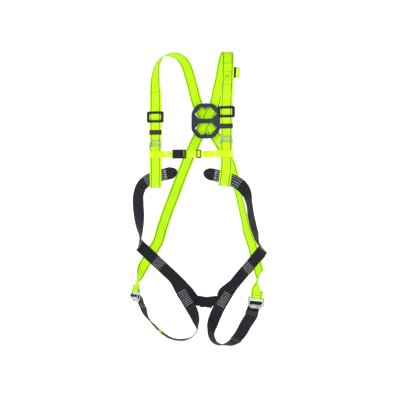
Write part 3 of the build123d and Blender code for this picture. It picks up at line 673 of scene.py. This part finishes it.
def tube(points, faces, run, radius, sides=6):
    """Adds a round thread along a run of places."""
    base = len(points)
    for i, place in enumerate(run):
        ahead = (run[min(i + 1, len(run) - 1)] - run[max(i - 1, 0)]).normalized()
        first = ahead.orthogonal().normalized()
        second = ahead.cross(first)
        grip = radius * (0.55 if i in (0, len(run) - 1) else 1.0)
        for k in range(sides):
            turn = 2 * math.pi * k / sides
            points.append(place + (first * math.cos(turn) + second * math.sin(turn)) * grip)
    for i in range(len(run) - 1):
        for k in range(sides):
            after = (k + 1) % sides
            a, b = base + i * sides, base + (i + 1) * sides
            faces.append((a + k, a + after, b + after, b + k))
    end = base + (len(run) - 1) * sides
    faces.append(tuple(base + k for k in reversed(range(sides))))
    faces.append(tuple(end + k for k in range(sides)))


class Strap:
    """A run of webbing on which stitches are placed by distance along it and across it."""

    def __init__(self, stretch, thick=WEB_THICK):
        self.stretch = thinned(stretch)
        self.along = travelled(self.stretch)
        self.thick = thick
        self.length = self.along[-1]

    def place(self, across, along, face):
        along = min(max(along, 0.0), self.length - 0.01)
        i = bisect.bisect_right(self.along, along) - 1
        u = (along - self.along[i]) / (self.along[i + 1] - self.along[i])
        (p, s, o), (q, t, r) = self.stretch[i], self.stretch[i + 1]
        side = (s * (1 - u) + t * u).normalized()
        out = (o * (1 - u) + r * u).normalized()
        rise = self.thick / 2 + THREAD * 0.25
        return p * (1 - u) + q * u + side * across + out * (face * rise)


def sew(name, strap, seams, finish):
    """Seams are (across, along, across, along, throw, face), and a zigzag when the throw
    isn't 0. The face is 1 on the outside of the webbing and -1 behind it."""
    points, faces = [], []
    for x1, y1, x2, y2, throw, face in seams:
        length = math.hypot(x2 - x1, y2 - y1)
        nx, ny = -(y2 - y1) / length, (x2 - x1) / length
        if throw:
            count = max(4, int(length / ZIGZAG_STITCH))
            run = []
            for k in range(count + 1):
                u = k / count
                swing = throw * (1 if k % 2 else -1)
                run.append(strap.place(x1 + (x2 - x1) * u + nx * swing,
                                       y1 + (y2 - y1) * u + ny * swing, face))
            tube(points, faces, run, THREAD)
        else:
            count = max(2, int(length / PLAIN_STITCH))
            for k in range(count):
                ends = [(k + 0.12) / count, (k + 0.5) / count, (k + 0.88) / count]
                run = [strap.place(x1 + (x2 - x1) * u, y1 + (y2 - y1) * u, face) for u in ends]
                tube(points, faces, run, THREAD)
    piece = closed_shell(new_piece(name, points, faces, finish))
    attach(piece, "root")


def rounded(corners, radius, arc=5):
    """A closed outline with each corner turned into an arc."""
    made = []
    for i, corner in enumerate(corners):
        corner = Vector((*corner, 0))
        before = Vector((*corners[i - 1], 0)) - corner
        after = Vector((*corners[(i + 1) % len(corners)], 0)) - corner
        half = before.angle(after) / 2
        reach = min(radius / math.tan(half), before.length * 0.45, after.length * 0.45)
        fit = reach * math.tan(half)
        start, end = before.normalized() * reach, after.normalized() * reach
        middle = (before.normalized() + after.normalized()).normalized() * (fit / math.sin(half))
        a, b = start - middle, end - middle
        for k in range(arc + 1):
            u = k / arc
            bow = (a * (1 - u) + b * u)
            bow = bow.normalized() * fit
            made.append((corner + middle + bow)[:2])
    return made


def rounded_box(width, height, radius, y=0.0, arc=5):
    """The outline of a box centred at (0, y)."""
    x, half = width / 2, height / 2
    return rounded([(-x, y - half), (x, y - half), (x, y + half), (-x, y + half)], radius, arc)


def pressed_plate(name, outer, windows, thick, rounding, place, finish):
    """A plate with windows and rounded edges, laid into a frame (origin, across, up, out)."""
    curve = bpy.data.curves.new(name, "CURVE")
    curve.dimensions = "2D"
    curve.fill_mode = "BOTH"
    for i, outline in enumerate([outer] + windows):
        spline = curve.splines.new("POLY")
        spline.points.add(len(outline) - 1)
        ordered = outline if i == 0 else outline[::-1]
        for point, (x, y) in zip(spline.points, ordered):
            point.co = (x, y, 0, 1)
        spline.use_cyclic_u = True
    curve.extrude = thick / 2 - rounding
    curve.bevel_depth = rounding
    curve.bevel_resolution = 3
    curve.offset = -rounding
    shape = bpy.data.objects.new(name + "_outline", curve)
    mesh = bpy.data.meshes.new_from_object(shape)
    bpy.data.objects.remove(shape)
    bpy.data.curves.remove(curve)
    origin, across, up, out = place
    points = [origin + across * v.co.x + up * v.co.y + out * v.co.z for v in mesh.vertices]
    faces = [tuple(p.vertices) for p in mesh.polygons]
    bpy.data.meshes.remove(mesh)
    piece = closed_shell(new_piece(name, points, faces, finish), SAME_POINT)
    piece.data.polygons.foreach_set("use_smooth", [True] * len(piece.data.polygons))
    piece.data.set_sharp_from_angle(angle=SHARP_EDGE)
    return piece


# ---- finishes ----------------------------------------------------------------------

class Socket:
    """One output of a finish's nodes, with the sums that finishes are written in."""

    def __init__(self, finish, output):
        self.finish = finish
        self.output = output

    def sum(self, operation, *values):
        return self.finish.node("ShaderNodeMath", {"operation": operation}, list(values))

    def __add__(self, other):
        return self.sum("ADD", self, other)

    def __sub__(self, other):
        return self.sum("SUBTRACT", self, other)

    def __rsub__(self, other):
        return self.sum("SUBTRACT", other, self)

    def __mul__(self, other):
        return self.sum("MULTIPLY", self, other)

    __radd__ = __add__
    __rmul__ = __mul__

    def size(self):
        return self.sum("ABSOLUTE", self)

    def wave(self):
        return self.sum("SINE", self)

    def at_most(self, limit):
        return self.sum("MINIMUM", self, limit)

    def at_least(self, limit):
        return self.sum("MAXIMUM", self, limit)

    def ramp(self, low, high):
        """0 up to low, 1 from high, and smooth between them."""
        return self.finish.node("ShaderNodeMapRange", {"interpolation_type": "SMOOTHSTEP"},
                                {"Value": self, "From Min": low, "From Max": high})


class Finish:
    """A material with one Principled shader."""

    def __init__(self, name, **constants):
        self.material = bpy.data.materials.new(name)
        self.material.use_nodes = True
        self.tree = self.material.node_tree
        self.shader = self.tree.nodes["Principled BSDF"]
        for key, value in constants.items():
            self.shader.inputs[key.replace("_", " ")].default_value = value

    def node(self, kind, settings=None, inputs=None, output=0):
        made = self.tree.nodes.new(kind)
        for key, value in (settings or {}).items():
            setattr(made, key, value)
        pairs = enumerate(inputs) if isinstance(inputs, list) else (inputs or {}).items()
        for key, value in pairs:
            self.feed(made.inputs[key], value)
        return Socket(self, made.outputs[output])

    def feed(self, socket, value):
        if isinstance(value, Socket):
            self.tree.links.new(value.output, socket)
        else:
            socket.default_value = value

    def surface(self, **links):
        for key, value in links.items():
            self.feed(self.shader.inputs[key.replace("_", " ")], value)

    def mix(self, factor, first, second):
        """Between two colours."""
        first, second = [c if isinstance(c, Socket) else (*c, 1.0) for c in (first, second)]
        return self.node("ShaderNodeMix", {"data_type": "RGBA"},
                         {0: factor, 6: first, 7: second}, 2)

    def noise(self, where, scale, detail=2.0, roughness=0.5):
        return self.node("ShaderNodeTexNoise", {}, {"Vector": where, "Scale": scale,
                                                    "Detail": detail, "Roughness": roughness})

    def bump(self, height, strength, distance, below=None):
        inputs = {"Strength": strength, "Distance": distance, "Height": height}
        if below:
            inputs["Normal"] = below
        return self.node("ShaderNodeBump", {}, inputs)

    def place(self):
        """Where a point is on the object, in metres."""
        return self.node("ShaderNodeTexCoord", output=3)

    def lay(self):
        """Across and along a webbing, in metres, and both as one vector."""
        vector = self.node("ShaderNodeAttribute", {"attribute_name": "lay"}, output=1)
        parts = [self.node("ShaderNodeSeparateXYZ", {}, [vector], k) for k in range(3)]
        return vector, parts[0], parts[1]

    def edges(self, low=0.53, high=0.62):
        """1 on outer edges and corners, where finishes rub through, and where moulded plastic
        gets a painted highlight.
        """
        pointed = self.node("ShaderNodeNewGeometry", output=7)
        return pointed.ramp(low, high)


TURN = 2 * math.pi


def webbing_finish(name, base, deep, tracer, width, painted_glow=0.0, sheen=0.25, rough=0.62,
                   shine=0.2):
    """Woven polyester: ribs along it, picks across it, tracer lines and rubbed edges. Where a
    painted glow is given, it also gives off light in its own colour.
    """
    finish = Finish(name, Sheen_Weight=sheen, Sheen_Roughness=0.4, Specular_IOR_Level=shine,
                    Emission_Strength=painted_glow)
    vector, across, along = finish.lay()
    warp = (across * (TURN / (1.5 * MM))).wave()
    weft = (along * (TURN / (1.9 * MM)) + warp * 0.9).wave()
    weave = warp * 0.5 + weft * 0.5
    from_edge = width / 2 * MM - across.size()
    soft = finish.noise(vector, 38.0, 3.0)
    fine = finish.noise(vector, 900.0, 2.0)
    shade = (soft - 0.5) * 0.55 + (fine - 0.5) * 0.3 + weave * 0.09 + 0.42
    worn = finish.noise(vector, 9.0, 2.0).ramp(0.35, 0.7)
    shade = shade + (worn - 0.5) * 0.35
    colour = finish.mix(shade.at_least(0.0).at_most(1.0), base, deep)
    edge = 1 - from_edge.ramp(0.4 * MM, 1.5 * MM)
    colour = finish.mix(edge * 0.35, colour, deep)
    if tracer:
        from_line = (from_edge - TRACER_INSET * MM).size()
        line = 1 - from_line.ramp(1.15 * MM, 1.6 * MM)
        pick = (along * (TURN / (4.2 * MM))).wave().ramp(-0.95, -0.5)
        colour = finish.mix(line * (pick * 0.35 + 0.65), colour, tracer)
    roughness = (soft - 0.5) * 0.16 + (1 - weave) * 0.04 + rough
    woven = finish.bump(weave, 0.5, 0.25 * MM)
    finish.surface(Base_Color=colour, Roughness=roughness,
                   Normal=finish.bump(soft, 0.25, 0.9 * MM, woven))
    # Painted glow: emission in the webbing's own colour, which keeps it bright even where the
    # lamps leave it in shade.
    if painted_glow:
        finish.surface(Emission_Color=colour)
    return finish.material


def elastic_finish():
    """Knitted elastic with ribs along the strap."""
    finish = Finish("elastic", Sheen_Weight=0.03, Sheen_Roughness=0.4,
                    Specular_IOR_Level=0.18)
    vector, around, along = finish.lay()
    rib = (around * (TURN / (1.7 * MM))).wave()
    knit = (along * (TURN / (1.1 * MM)) + rib).wave()
    soft = finish.noise(vector, 70.0, 3.0)
    shade = (rib * 0.22 + knit * 0.12 + (soft - 0.5) * 0.6 + 0.45).at_least(0.0).at_most(1.0)
    colour = finish.mix(shade, (0.012, 0.012, 0.008), (0.062, 0.058, 0.034))
    finish.surface(Base_Color=colour, Roughness=(soft - 0.5) * 0.2 + 0.5,
                   Normal=finish.bump(rib * 0.7 + knit * 0.3, 0.7, 0.3 * MM))
    return finish.material


def thread_finish(name, light, dark, rough=0.5):
    """Twisted sewing thread."""
    finish = Finish(name, Sheen_Weight=0.25)
    where = finish.place()
    twist = finish.noise(where, 1400.0, 2.0)
    worn = finish.noise(where, 60.0, 2.0)
    shade = ((twist - 0.5) * 0.9 + (worn - 0.5) * 0.8 + 0.35).at_least(0.0).at_most(1.0)
    finish.surface(Base_Color=finish.mix(shade, light, dark), Roughness=twist * 0.2 + rough,
                   Normal=finish.bump(twist, 0.4, 0.2 * MM))
    return finish.material


def coated_steel_finish():
    """Black coated steel, rubbed to metal on its edges."""
    finish = Finish("black_steel", Coat_Roughness=0.25, Specular_IOR_Level=0.16)
    where = finish.place()
    fine = finish.noise(where, 1100.0, 2.0)
    broad = finish.noise(where, 45.0, 3.0)
    rubbed = finish.edges(0.6, 0.72) * broad.ramp(0.5, 0.66)
    base = finish.mix(broad, (0.006, 0.006, 0.007), (0.017, 0.017, 0.019))
    colour = finish.mix(rubbed * 0.7, base, (0.32, 0.31, 0.3))
    finish.surface(Base_Color=colour, Metallic=rubbed * 0.8,
                   Roughness=(fine - 0.5) * 0.14 + (broad - 0.5) * 0.2 + 0.36,
                   Coat_Weight=0.1 - rubbed * 0.08, Normal=finish.bump(fine, 0.18, 0.12 * MM))
    return finish.material


def zinc_finish():
    """Bright zinc on forged and bent steel, with fine scratches."""
    finish = Finish("steel")
    where = finish.place()
    fine = finish.noise(where, 1500.0, 3.0)
    cloud = finish.noise(where, 55.0, 4.0, 0.6)
    stretched = finish.node("ShaderNodeVectorMath", {"operation": "MULTIPLY"},
                            {0: where, 1: (1.0, 1.0, 9.0)})
    scratch = finish.noise(stretched, 420.0, 3.0)
    edge = finish.edges(0.52, 0.62)
    colour = finish.mix(cloud.ramp(0.3, 0.75), (0.52, 0.54, 0.53), (0.3, 0.31, 0.31))
    colour = finish.mix(edge * 0.5, colour, (0.8, 0.81, 0.8))
    finish.surface(Base_Color=colour, Metallic=1.0 - cloud * 0.12,
                   Roughness=(scratch - 0.5) * 0.24 + (cloud - 0.5) * 0.2 + 0.3,
                   Normal=finish.bump(fine * 0.5 + scratch * 0.5, 0.16, 0.12 * MM))
    return finish.material


def moulded_finish(name, light, dark, rough):
    """Moulded plastic with a fine spark-eroded grain, and edges a little less rough, with a
    painted highlight along them.
    """
    finish = Finish(name, Specular_IOR_Level=0.2)
    where = finish.place()
    grain = finish.noise(where, 1700.0, 3.0)
    broad = finish.noise(where, 28.0, 3.0)
    edge = finish.edges(0.54, 0.64)
    shade = ((broad - 0.5) * 0.9 + (grain - 0.5) * 0.35 + 0.5).at_least(0.0).at_most(1.0)
    # Painted highlight: the edges are painted lighter, towards twice the light colour.
    colour = finish.mix(edge * 0.3, finish.mix(shade, dark, light), [c * 2.1 for c in light])
    finish.surface(Base_Color=colour,
                   Roughness=(grain - 0.5) * 0.2 + (broad - 0.5) * 0.16 - edge * 0.12 + rough,
                   Normal=finish.bump(grain, 0.3, 0.14 * MM))
    return finish.material


def floor_finish():
    """Matt white paint with faint clouds, just bright enough to stay white."""
    finish = Finish("studio_floor", Specular_IOR_Level=0.1, Emission_Strength=0.48,
                    Emission_Color=(1, 1, 1, 1))
    broad = finish.noise(finish.place(), 0.8, 2.0)
    finish.surface(Base_Color=finish.mix(broad, (0.9, 0.9, 0.9), (0.94, 0.94, 0.94)),
                   Roughness=broad * 0.1 + 0.8)
    return finish.material


def make_finishes():
    """Every finish by its short name."""
    return {
        # The lime and chest webbings get a painted glow: 0.12 of emission in their own colour.
        "lime": webbing_finish("lime_webbing", (0.5, 0.92, 0.001), (0.37, 0.7, 0.0),
                               (0.03, 0.07, 0.0), WEB_WIDTH, painted_glow=0.12, sheen=0.05),
        "chest": webbing_finish("chest_webbing", (0.6, 0.95, 0.01), (0.46, 0.76, 0.005),
                                None, CHEST_WIDTH, painted_glow=0.12, sheen=0.05),
        "black": webbing_finish("black_webbing", (0.0042, 0.0054, 0.0095),
                                (0.014, 0.0175, 0.0275), None, WEB_WIDTH, sheen=0.0,
                                rough=0.52, shine=0.16),
        "elastic": elastic_finish(),
        "white_thread": thread_finish("white_thread", (0.82, 0.82, 0.8), (0.5, 0.5, 0.5)),
        "gold_thread": thread_finish("gold_thread", (0.52, 0.44, 0.2), (0.26, 0.22, 0.1)),
        "lime_thread": thread_finish("lime_thread", (0.66, 0.9, 0.12), (0.4, 0.62, 0.03)),
        "pale_thread": thread_finish("pale_thread", (0.85, 0.95, 0.5), (0.7, 0.85, 0.3)),
        "dark_thread": thread_finish("dark_thread", (0.06, 0.09, 0.01), (0.02, 0.03, 0.0)),
        "black_steel": coated_steel_finish(),
        "steel": zinc_finish(),
        "plate_plastic": moulded_finish("plate_plastic", (0.036, 0.039, 0.068),
                                        (0.025, 0.027, 0.048), 0.5),
        "black_plastic": moulded_finish("black_plastic", (0.008, 0.008, 0.009),
                                        (0.003, 0.003, 0.0035), 0.4),
    }


# ---- pieces ------------------------------------------------------------------------

def dress(piece, nodes, body="root"):
    """The piece rides on its body and stands for its CAD nodes."""
    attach(piece, body)
    if nodes:
        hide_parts(*nodes)
    return piece


def row_seams(rows, start, end, throw, faces=(1, -1)):
    """Parallel rows of stitching along a strap."""
    return [(x, start, x, end, throw, face) for face in faces for x in rows]


def column_seams(reach, places, throw, faces=(1, -1)):
    """Rows of stitching across a strap."""
    return [(-reach, y, reach, y, throw, face) for face in faces for y in places]


def make_shoulder_straps(finishes):
    """Each strap with its tail, its turn and its leg loop in one webbing."""
    for side in "rl":
        other = "l" if side == "r" else "r"
        path = shoulder_path(side)
        piece = webbing("shoulder_webbing_" + side, path, finishes["lime"])
        dress(piece, ["shoulder_strap_" + side, "strap_tail_" + side,
                                      "adjuster_turn_" + side, "leg_loop_" + other])
        strap = Strap(path)
        seams = column_seams(19, (3.0, 16.0), 0)
        foot = strap.length - 58.0
        seams += column_seams(19, (foot, foot + 12.0), 0)
        sew("shoulder_hems_" + side, strap, seams, finishes["dark_thread"])


def make_shoulder_overlay(finishes):
    """A rounded tongue sewn over the left shoulder."""
    lower, upper = OVERLAY
    run = [(place + out * LAYER_STEP, across, out)
           for place, across, out in stations(shoulder_route("l"))[lower:upper]]
    rounded_over = WEB_WIDTH / 2

    def shape(along):
        left = min(along / rounded_over, 1.0)
        return math.sqrt(max(1 - (1 - left) ** 2, 0.02)), 0.0

    piece = webbing("shoulder_overlay", run, finishes["lime"], shape=shape)
    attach(piece, "root")
    seams = [(-9, 24, 9, 12, 0.9, 1), (9, 24, -9, 12, 0.9, 1), (-9, 12, 9, 12, 0.9, 1)]
    seams += [(-15, along, 15, along, 0.9, 1) for along in (34, 74)]
    sew("shoulder_overlay_seams", Strap(run), seams, finishes["dark_thread"])


def make_front_straps(finishes):
    """The front straps with their adjuster loops, and the bands over the chest rings."""
    for side in "rl":
        path = front_path(side)
        piece = webbing("front_webbing_" + side, path, finishes["lime"])
        dress(piece, ["front_strap_" + side, "adjuster_loop_" + side])
        strap = Strap(path)
        foot = strap.length
        seams = row_seams((-13, -4.5, 4.5, 13), foot - 52, foot - 7, 1.1)
        seams += column_seams(18, (foot - 56, foot - 4), 0.9)
        sew("front_seams_" + side, strap, seams, finishes["lime_thread"])
        path = ring_band_path(side)
        width = CHEST_RING_WIDTH - 2 * CHEST_RING_ROD - 2 * RING_BAND_ROOM
        piece = webbing("ring_webbing_" + side, path, finishes["lime"], width)
        dress(piece, ["ring_band_" + side])


def make_hip_straps(finishes):
    """The black webbing: hip straps, thigh straps and the layers behind the crossings."""
    for side in "rl":
        hip = hip_path(side)
        piece = webbing("hip_webbing_" + side, hip, finishes["black"],
                        shape=eye_shape(hip, hip_route(side)))
        dress(piece, ["hip_strap_" + side, "hip_loop_" + side])
        thigh = thigh_path(side)
        piece = webbing("thigh_webbing_" + side, thigh, finishes["black"])
        dress(piece, ["thigh_strap_" + side, "plate_loop_" + side])
        cover = stations(sleeve_route(side))
        piece = webbing("hip_sleeve_" + side, cover, finishes["black"])
        dress(piece, ["strap_sleeve_" + side])
        make_hip_stitches(side, Strap(hip), Strap(thigh), finishes)


def eye_shape(path, route):
    """The webbing is pinched where it turns at the tip of its eye."""
    start = Vector(route[0][:3])
    path = thinned(path)
    tip = max((station for station in path[:40]),
              key=lambda station: (station[0] - start).length)
    middle = travelled(path)[path.index(tip)]

    def shape(along):
        away = min(abs(along - middle) / EYE_PINCH, 1.0)
        loose = away * away * (3 - 2 * away)
        return 0.55 + 0.45 * loose, 6.5 * (1 - loose)

    return shape


def make_hip_stitches(side, hip, thigh, finishes):
    """Bar tacks at the front eye, at the hip crossing and on the seat, and gold seams."""
    eye = hip.length - travelled(thinned(stations(hip_route(side))))[-1]
    front = row_seams(TACK_ROWS, eye + 2, eye + FRONT_TACK[side], 1.3)
    front += column_seams(17.5, (eye + 1, eye + 6), 1.5)
    first, last = CROSS_TACK[side]
    crossed = row_seams(TACK_ROWS, eye + first, eye + last, 1.3, (-1,))
    first, last = SEAT_TACK[side]
    seat = column_seams(17, [first + (last - first) * k / 7 for k in range(8)], 1.1)
    gold = row_seams(GOLD_ROWS, eye + GOLD_SEAM[0], eye + GOLD_SEAM[1], 0.9)
    for name, strap, seams, thread in (("hip_tacks_", hip, front, "white_thread"),
                                       ("crossing_tacks_", hip, crossed, "white_thread"),
                                       ("seat_tacks_", thigh, seat, "white_thread"),
                                       ("hip_gold_seams_", hip, gold, "gold_thread")):
        sew(name + side, strap, seams, finishes[thread])


def make_keepers(finishes):
    """Elastic keepers on the front straps and on the thigh straps."""
    for side in "rl":
        run = []
        for k in range(13):
            z = KEEPER_Z[side] + KEEPER_HEIGHT * (k / 12 - 0.5)
            run.append((Vector((FRONT_X[side], FRONT_Y, z)), RIGHT, FORWARD))
        piece = sheath("keeper_elastic_" + side, run, finishes["elastic"])
        dress(piece, ["keeper_" + side], "keeper_" + side)
        fine = stations(thigh_route(side))
        for name, (first, last) in THIGH_KEEPERS[side].items():
            scale = FINE / CAD_STEPS
            part = fine[round(first * scale):round(last * scale) + 1]
            lime = (side, name) == ("r", "lower")
            piece = sheath("thigh_" + name + "_keeper_" + side, part,
                           finishes["lime" if lime else "elastic"])
            dress(piece,
                  ["thigh_keeper_" + name + "_" + side])


def make_chest_strap(finishes):
    """Both halves of the chest strap. The left one isn't attached to a body: its place is baked
    into its mesh.
    """
    for side in "rl":
        path = chest_path(side)
        piece = webbing("chest_webbing_" + side, path, finishes["chest"], CHEST_WIDTH,
                        CHEST_THICK)
        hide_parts("chest_strap_" + side)
        if side == "r":
            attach(piece, "root")
        else:
            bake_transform(piece)
        strap = Strap(path, CHEST_THICK)
        places = [14, 17] + [strap.length - mark + k
                             for mark in CHEST_MARKS[side] for k in (-1.6, 0, 1.6)]
        sew("chest_seams_" + side, strap, column_seams(10.5, places, 0.8),
            finishes["pale_thread"])


def make_slider(finishes):
    """A slide with an open front, through which the webbing shows."""
    width, height = SLIDER_SIZE
    face, wall = SLIDER_WALL
    y = FRONT_Y - WEB_THICK / 2 - CLEAR - CHEST_THICK / 2
    room = CHEST_THICK + 2 * CLEAR
    for name, at in (("front", y - (room + face) / 2), ("back", y + (room + face) / 2)):
        place = (Vector((SLIDER_X, at, CHEST_Z)), RIGHT, UP, FORWARD)
        piece = pressed_plate("chest_slider_" + name, rounded_box(width, height, 3.2),
                              [rounded_box(width - 6.0, height - 8.0, 1.6)], face, 0.6,
                              place, finishes["black_plastic"])
        dress(piece, ["chest_slider"], "chest_slider")
    for end in (1, -1):
        place = (Vector((SLIDER_X, y, CHEST_Z + end * (height / 2 - 1.6))),
                 RIGHT, FORWARD, UP * -1)
        piece = pressed_plate("chest_slider_end_" + ("top" if end > 0 else "bottom"),
                              rounded_box(width, room + 3.4, 1.0), [], wall, 0.8,
                              place, finishes["black_plastic"])
        dress(piece, ["chest_slider"], "chest_slider")


def make_adjusters(finishes):
    """A three-bar slide, a rim in front of the webbing and rails between the two."""
    width, height = ADJUSTER_SIZE
    slot = (height - 3 * ADJUSTER_BAR) / 2
    window = WEB_WIDTH + 2 * ADJUSTER_SIDE_ROOM
    outer = rounded_box(width, height, ADJUSTER_CORNER, arc=8)
    slots = [rounded_box(window, slot, 1.2, k * (slot + ADJUSTER_BAR) / 2) for k in (-1, 1)]
    bar, depth = ADJUSTER_RIM
    opening = rounded_box(window - 2 * ADJUSTER_SIDE_ROOM, height - 2 * bar, 4.0)
    rail = (width - window) / 2
    rail_outline = rounded_box(rail, height - 2 * ADJUSTER_CORNER, 1.0)
    radius = ADJUSTER_BAR / 2 + LOOP_SLACK + WEB_THICK / 2
    ahead = radius + WEB_THICK / 2 + LAYER_GAP + depth / 2
    aside = (width - rail) / 2
    for side in "rl":
        # name, place across and in front, outline, windows, thickness, rounding
        pieces = [("slide_" + side, 0, 0, outer, slots, ADJUSTER_THICK, 1.5),
                  ("rim_" + side, 0, ahead, outer, [opening], depth, 1.2),
                  ("rail_" + side + "_a", aside, ahead / 2, rail_outline, [], ahead + 1, 0.6),
                  ("rail_" + side + "_b", -aside, ahead / 2, rail_outline, [], ahead + 1, 0.6)]
        for name, x, y, outline, windows, thick, rounding in pieces:
            origin = Vector((FRONT_X[side] + x, FRONT_Y - y, ADJUSTER_Z[side]))
            piece = pressed_plate("adjuster_" + name, outline, windows, thick, rounding,
                                  (origin, RIGHT, UP, FORWARD), finishes["black_steel"])
            dress(piece, ["adjuster_" + side] if windows is slots else [])


def make_leg_buckles(finishes):
    """Forged rings, and the plates that are passed through them."""
    width, height = LEG_RING_SIZE
    cut_across, cut_up = LEG_RING_CORNER
    top = LEG_RING_BAR / 2
    low = top - height
    outer = [(-width / 2, top), (width / 2, top), (width / 2, low + cut_up),
             (width / 2 - cut_across, low), (cut_across - width / 2, low),
             (-width / 2, low + cut_up)]
    window_x, window_y = LEG_RING_WINDOW
    plate_w, plate_h = LEG_PLATE_SIZE
    slot = (plate_h - LEG_PLATE_BAR) / 2 - LEG_PLATE_RIM
    for side in "rl":
        place = leg_frame(side)
        window = rounded_box(window_x, window_y, 2.0, -top - window_y / 2)
        piece = pressed_plate("leg_ring_forged_" + side, rounded(outer, 4.5), [window],
                              LEG_RING_THICK, 1.3, place, finishes["steel"])
        dress(piece, ["leg_ring_" + side])
        front = (Vector(in_frame(place, 0, -LEG_PLATE_DROP, LEG_PLATE_OUT)), *place[1:])
        slots = [rounded_box(WEB_WIDTH + 2 * LEG_PLATE_SIDE_ROOM, slot, 1.0,
                             k * (LEG_PLATE_BAR + slot) / 2) for k in (-1, 1)]
        piece = pressed_plate("leg_plate_pressed_" + side,
                              rounded_box(plate_w, plate_h, 3.0), slots,
                              LEG_PLATE_THICK, 1.0, front, finishes["steel"])
        dress(piece, ["leg_plate_" + side], "leg_plate_" + side)


def make_dorsal_plate(finishes):
    """The moulded plate on the back with two notched windows."""
    width, height = PLATE_SIZE
    a, b = width / 2, height / 2
    cut_x, cut_z = PLATE_CUT
    upper = [(a, b - cut_z), (a - cut_x, b - PLATE_BULGE), (0, b),
             (cut_x - a, b - PLATE_BULGE), (-a, b - cut_z)]
    outer = [(-x, -z) for x, z in upper] + upper
    top, mid = b - PLATE_RIM, PLATE_BAR / 2
    foot, tip, head, notch = PLATE_WINDOW
    half = [(-foot, mid), (foot, mid), (tip, mid + PLATE_TIP), (head, top), (notch, top),
            (0, top - PLATE_NOTCH), (-notch, top), (-head, top), (-tip, mid + PLATE_TIP)]
    windows = [rounded(half, 2.6), rounded([(x, -y) for x, y in reversed(half)], 2.6)]
    place = (Vector(PLATE_CENTRE), RIGHT, UP, FORWARD)
    piece = pressed_plate("dorsal_plate_moulded", rounded(outer, PLATE_ROUND, 9), windows,
                          PLATE_THICK, 1.4, place, finishes["plate_plastic"])
    dress(piece, ["dorsal_plate"])


def make_label(finishes):
    """A blank tab: a hook-and-loop strip with a lime flap."""
    edge = WEB_WIDTH / 2 + 2 * CLEAR
    strip = label_run(edge + LABEL_STRIP / 2)
    piece = webbing("label_band", strip, finishes["black"], LABEL_STRIP, LABEL_THICK)
    dress(piece, ["label_strip"])
    flap = label_run(edge + LABEL_STRIP + CLEAR + LABEL_FLAP / 2)
    piece = webbing("label_flap_cloth", flap, finishes["chest"], LABEL_FLAP, LABEL_THICK)
    dress(piece, ["label_flap"], "label_flap")


def finish_kept_nodes(finishes):
    """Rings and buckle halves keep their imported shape."""
    for name, finish in KEPT_NODES.items():
        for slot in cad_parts[name].material_slots:
            slot.link = "OBJECT"
            slot.material = finishes[finish]


KEPT_NODES = {"dorsal_ring": "steel", "chest_ring_r": "steel", "chest_ring_l": "steel",
              "chest_socket": "black_plastic", "chest_plug": "black_plastic"}


# ---- studio ------------------------------------------------------------------------

CAMERA_TURN = math.radians(13)
CAMERA_DISTANCE = 3.6
CAMERA_HEIGHT = -0.555
CAMERA_ASIDE = 0.0042
FLOOR_Z = -1.16
FLOOR_RADIUS = 6.5
FLOOR_BEND = 1.2
WALL_HEIGHT = 5.0
SKY = 0.3
# Place in metres, height of the place aimed at, size in metres and power in watts.
LIGHTS = {"key_light": ((-1.8, -3.2, 1.6), -0.5, 1.8, 38),
          "fill_light": ((2.8, -2.6, 0.4), -0.6, 2.2, 17),
          "back_light": ((0.6, 2.0, 2.2), -0.3, 1.6, 22)}


def make_floor():
    """A pale round floor that curves up into a wall on all sides."""
    profile = [(0.02, 0.0), (FLOOR_RADIUS, 0.0)]
    for step in range(1, 13):
        angle = math.pi / 2 * step / 12
        profile.append((FLOOR_RADIUS + FLOOR_BEND * math.sin(angle),
                        FLOOR_BEND * (1 - math.cos(angle))))
    profile.append((FLOOR_RADIUS + FLOOR_BEND, WALL_HEIGHT))
    sides = 96
    points, faces = [], []
    for reach, rise in profile:
        for k in range(sides):
            turn = 2 * math.pi * k / sides
            points.append(Vector((reach * math.cos(turn), reach * math.sin(turn),
                                  rise + FLOOR_Z)) / MM)
    for i in range(len(profile) - 1):
        for k in range(sides):
            after = (k + 1) % sides
            a, b = i * sides, (i + 1) * sides
            faces.append((a + k, b + k, b + after, a + after))
    faces.append(tuple(range(sides)))
    new_piece("studio_floor", points, faces, floor_finish())


def soft_light(name, place, aim, size, power):
    """A round lamp with soft edges."""
    lamp = bpy.data.lights.new(name, "AREA")
    lamp.shape = "DISK"
    lamp.size = size
    lamp.energy = power
    holder = bpy.data.objects.new(name, lamp)
    holder.location = place
    holder.rotation_euler = (Vector(aim) - Vector(place)).to_track_quat("-Z", "Y").to_euler()
    bpy.context.scene.collection.objects.link(holder)


def make_studio():
    """A white studio, and the camera in front of the wearer's right side."""
    make_floor()
    for name, (place, aim, size, power) in LIGHTS.items():
        soft_light(name, place, (0, 0, aim), size, power)
    world = bpy.data.worlds.new("studio_air")
    world.use_nodes = True
    world.node_tree.nodes["Background"].inputs["Color"].default_value = (1, 1, 1, 1)
    world.node_tree.nodes["Background"].inputs["Strength"].default_value = SKY
    scene = bpy.context.scene
    scene.world = world
    scene.view_settings.view_transform = "Standard"
    lens = bpy.data.cameras.new("camera")
    lens.lens = 85
    lens.sensor_width = 36
    camera = bpy.data.objects.new("camera", lens)
    place = Vector((CAMERA_ASIDE, -CAMERA_DISTANCE, CAMERA_HEIGHT))
    camera.location = Quaternion(UP, CAMERA_TURN) @ place
    camera.rotation_euler = (math.pi / 2, 0, CAMERA_TURN)
    scene.collection.objects.link(camera)
    scene.camera = camera


def main():
    finishes = make_finishes()
    make_shoulder_straps(finishes)
    make_shoulder_overlay(finishes)
    make_front_straps(finishes)
    make_hip_straps(finishes)
    make_keepers(finishes)
    make_chest_strap(finishes)
    make_slider(finishes)
    make_adjusters(finishes)
    make_leg_buckles(finishes)
    make_dorsal_plate(finishes)
    make_label(finishes)
    finish_kept_nodes(finishes)
    make_studio()


main()
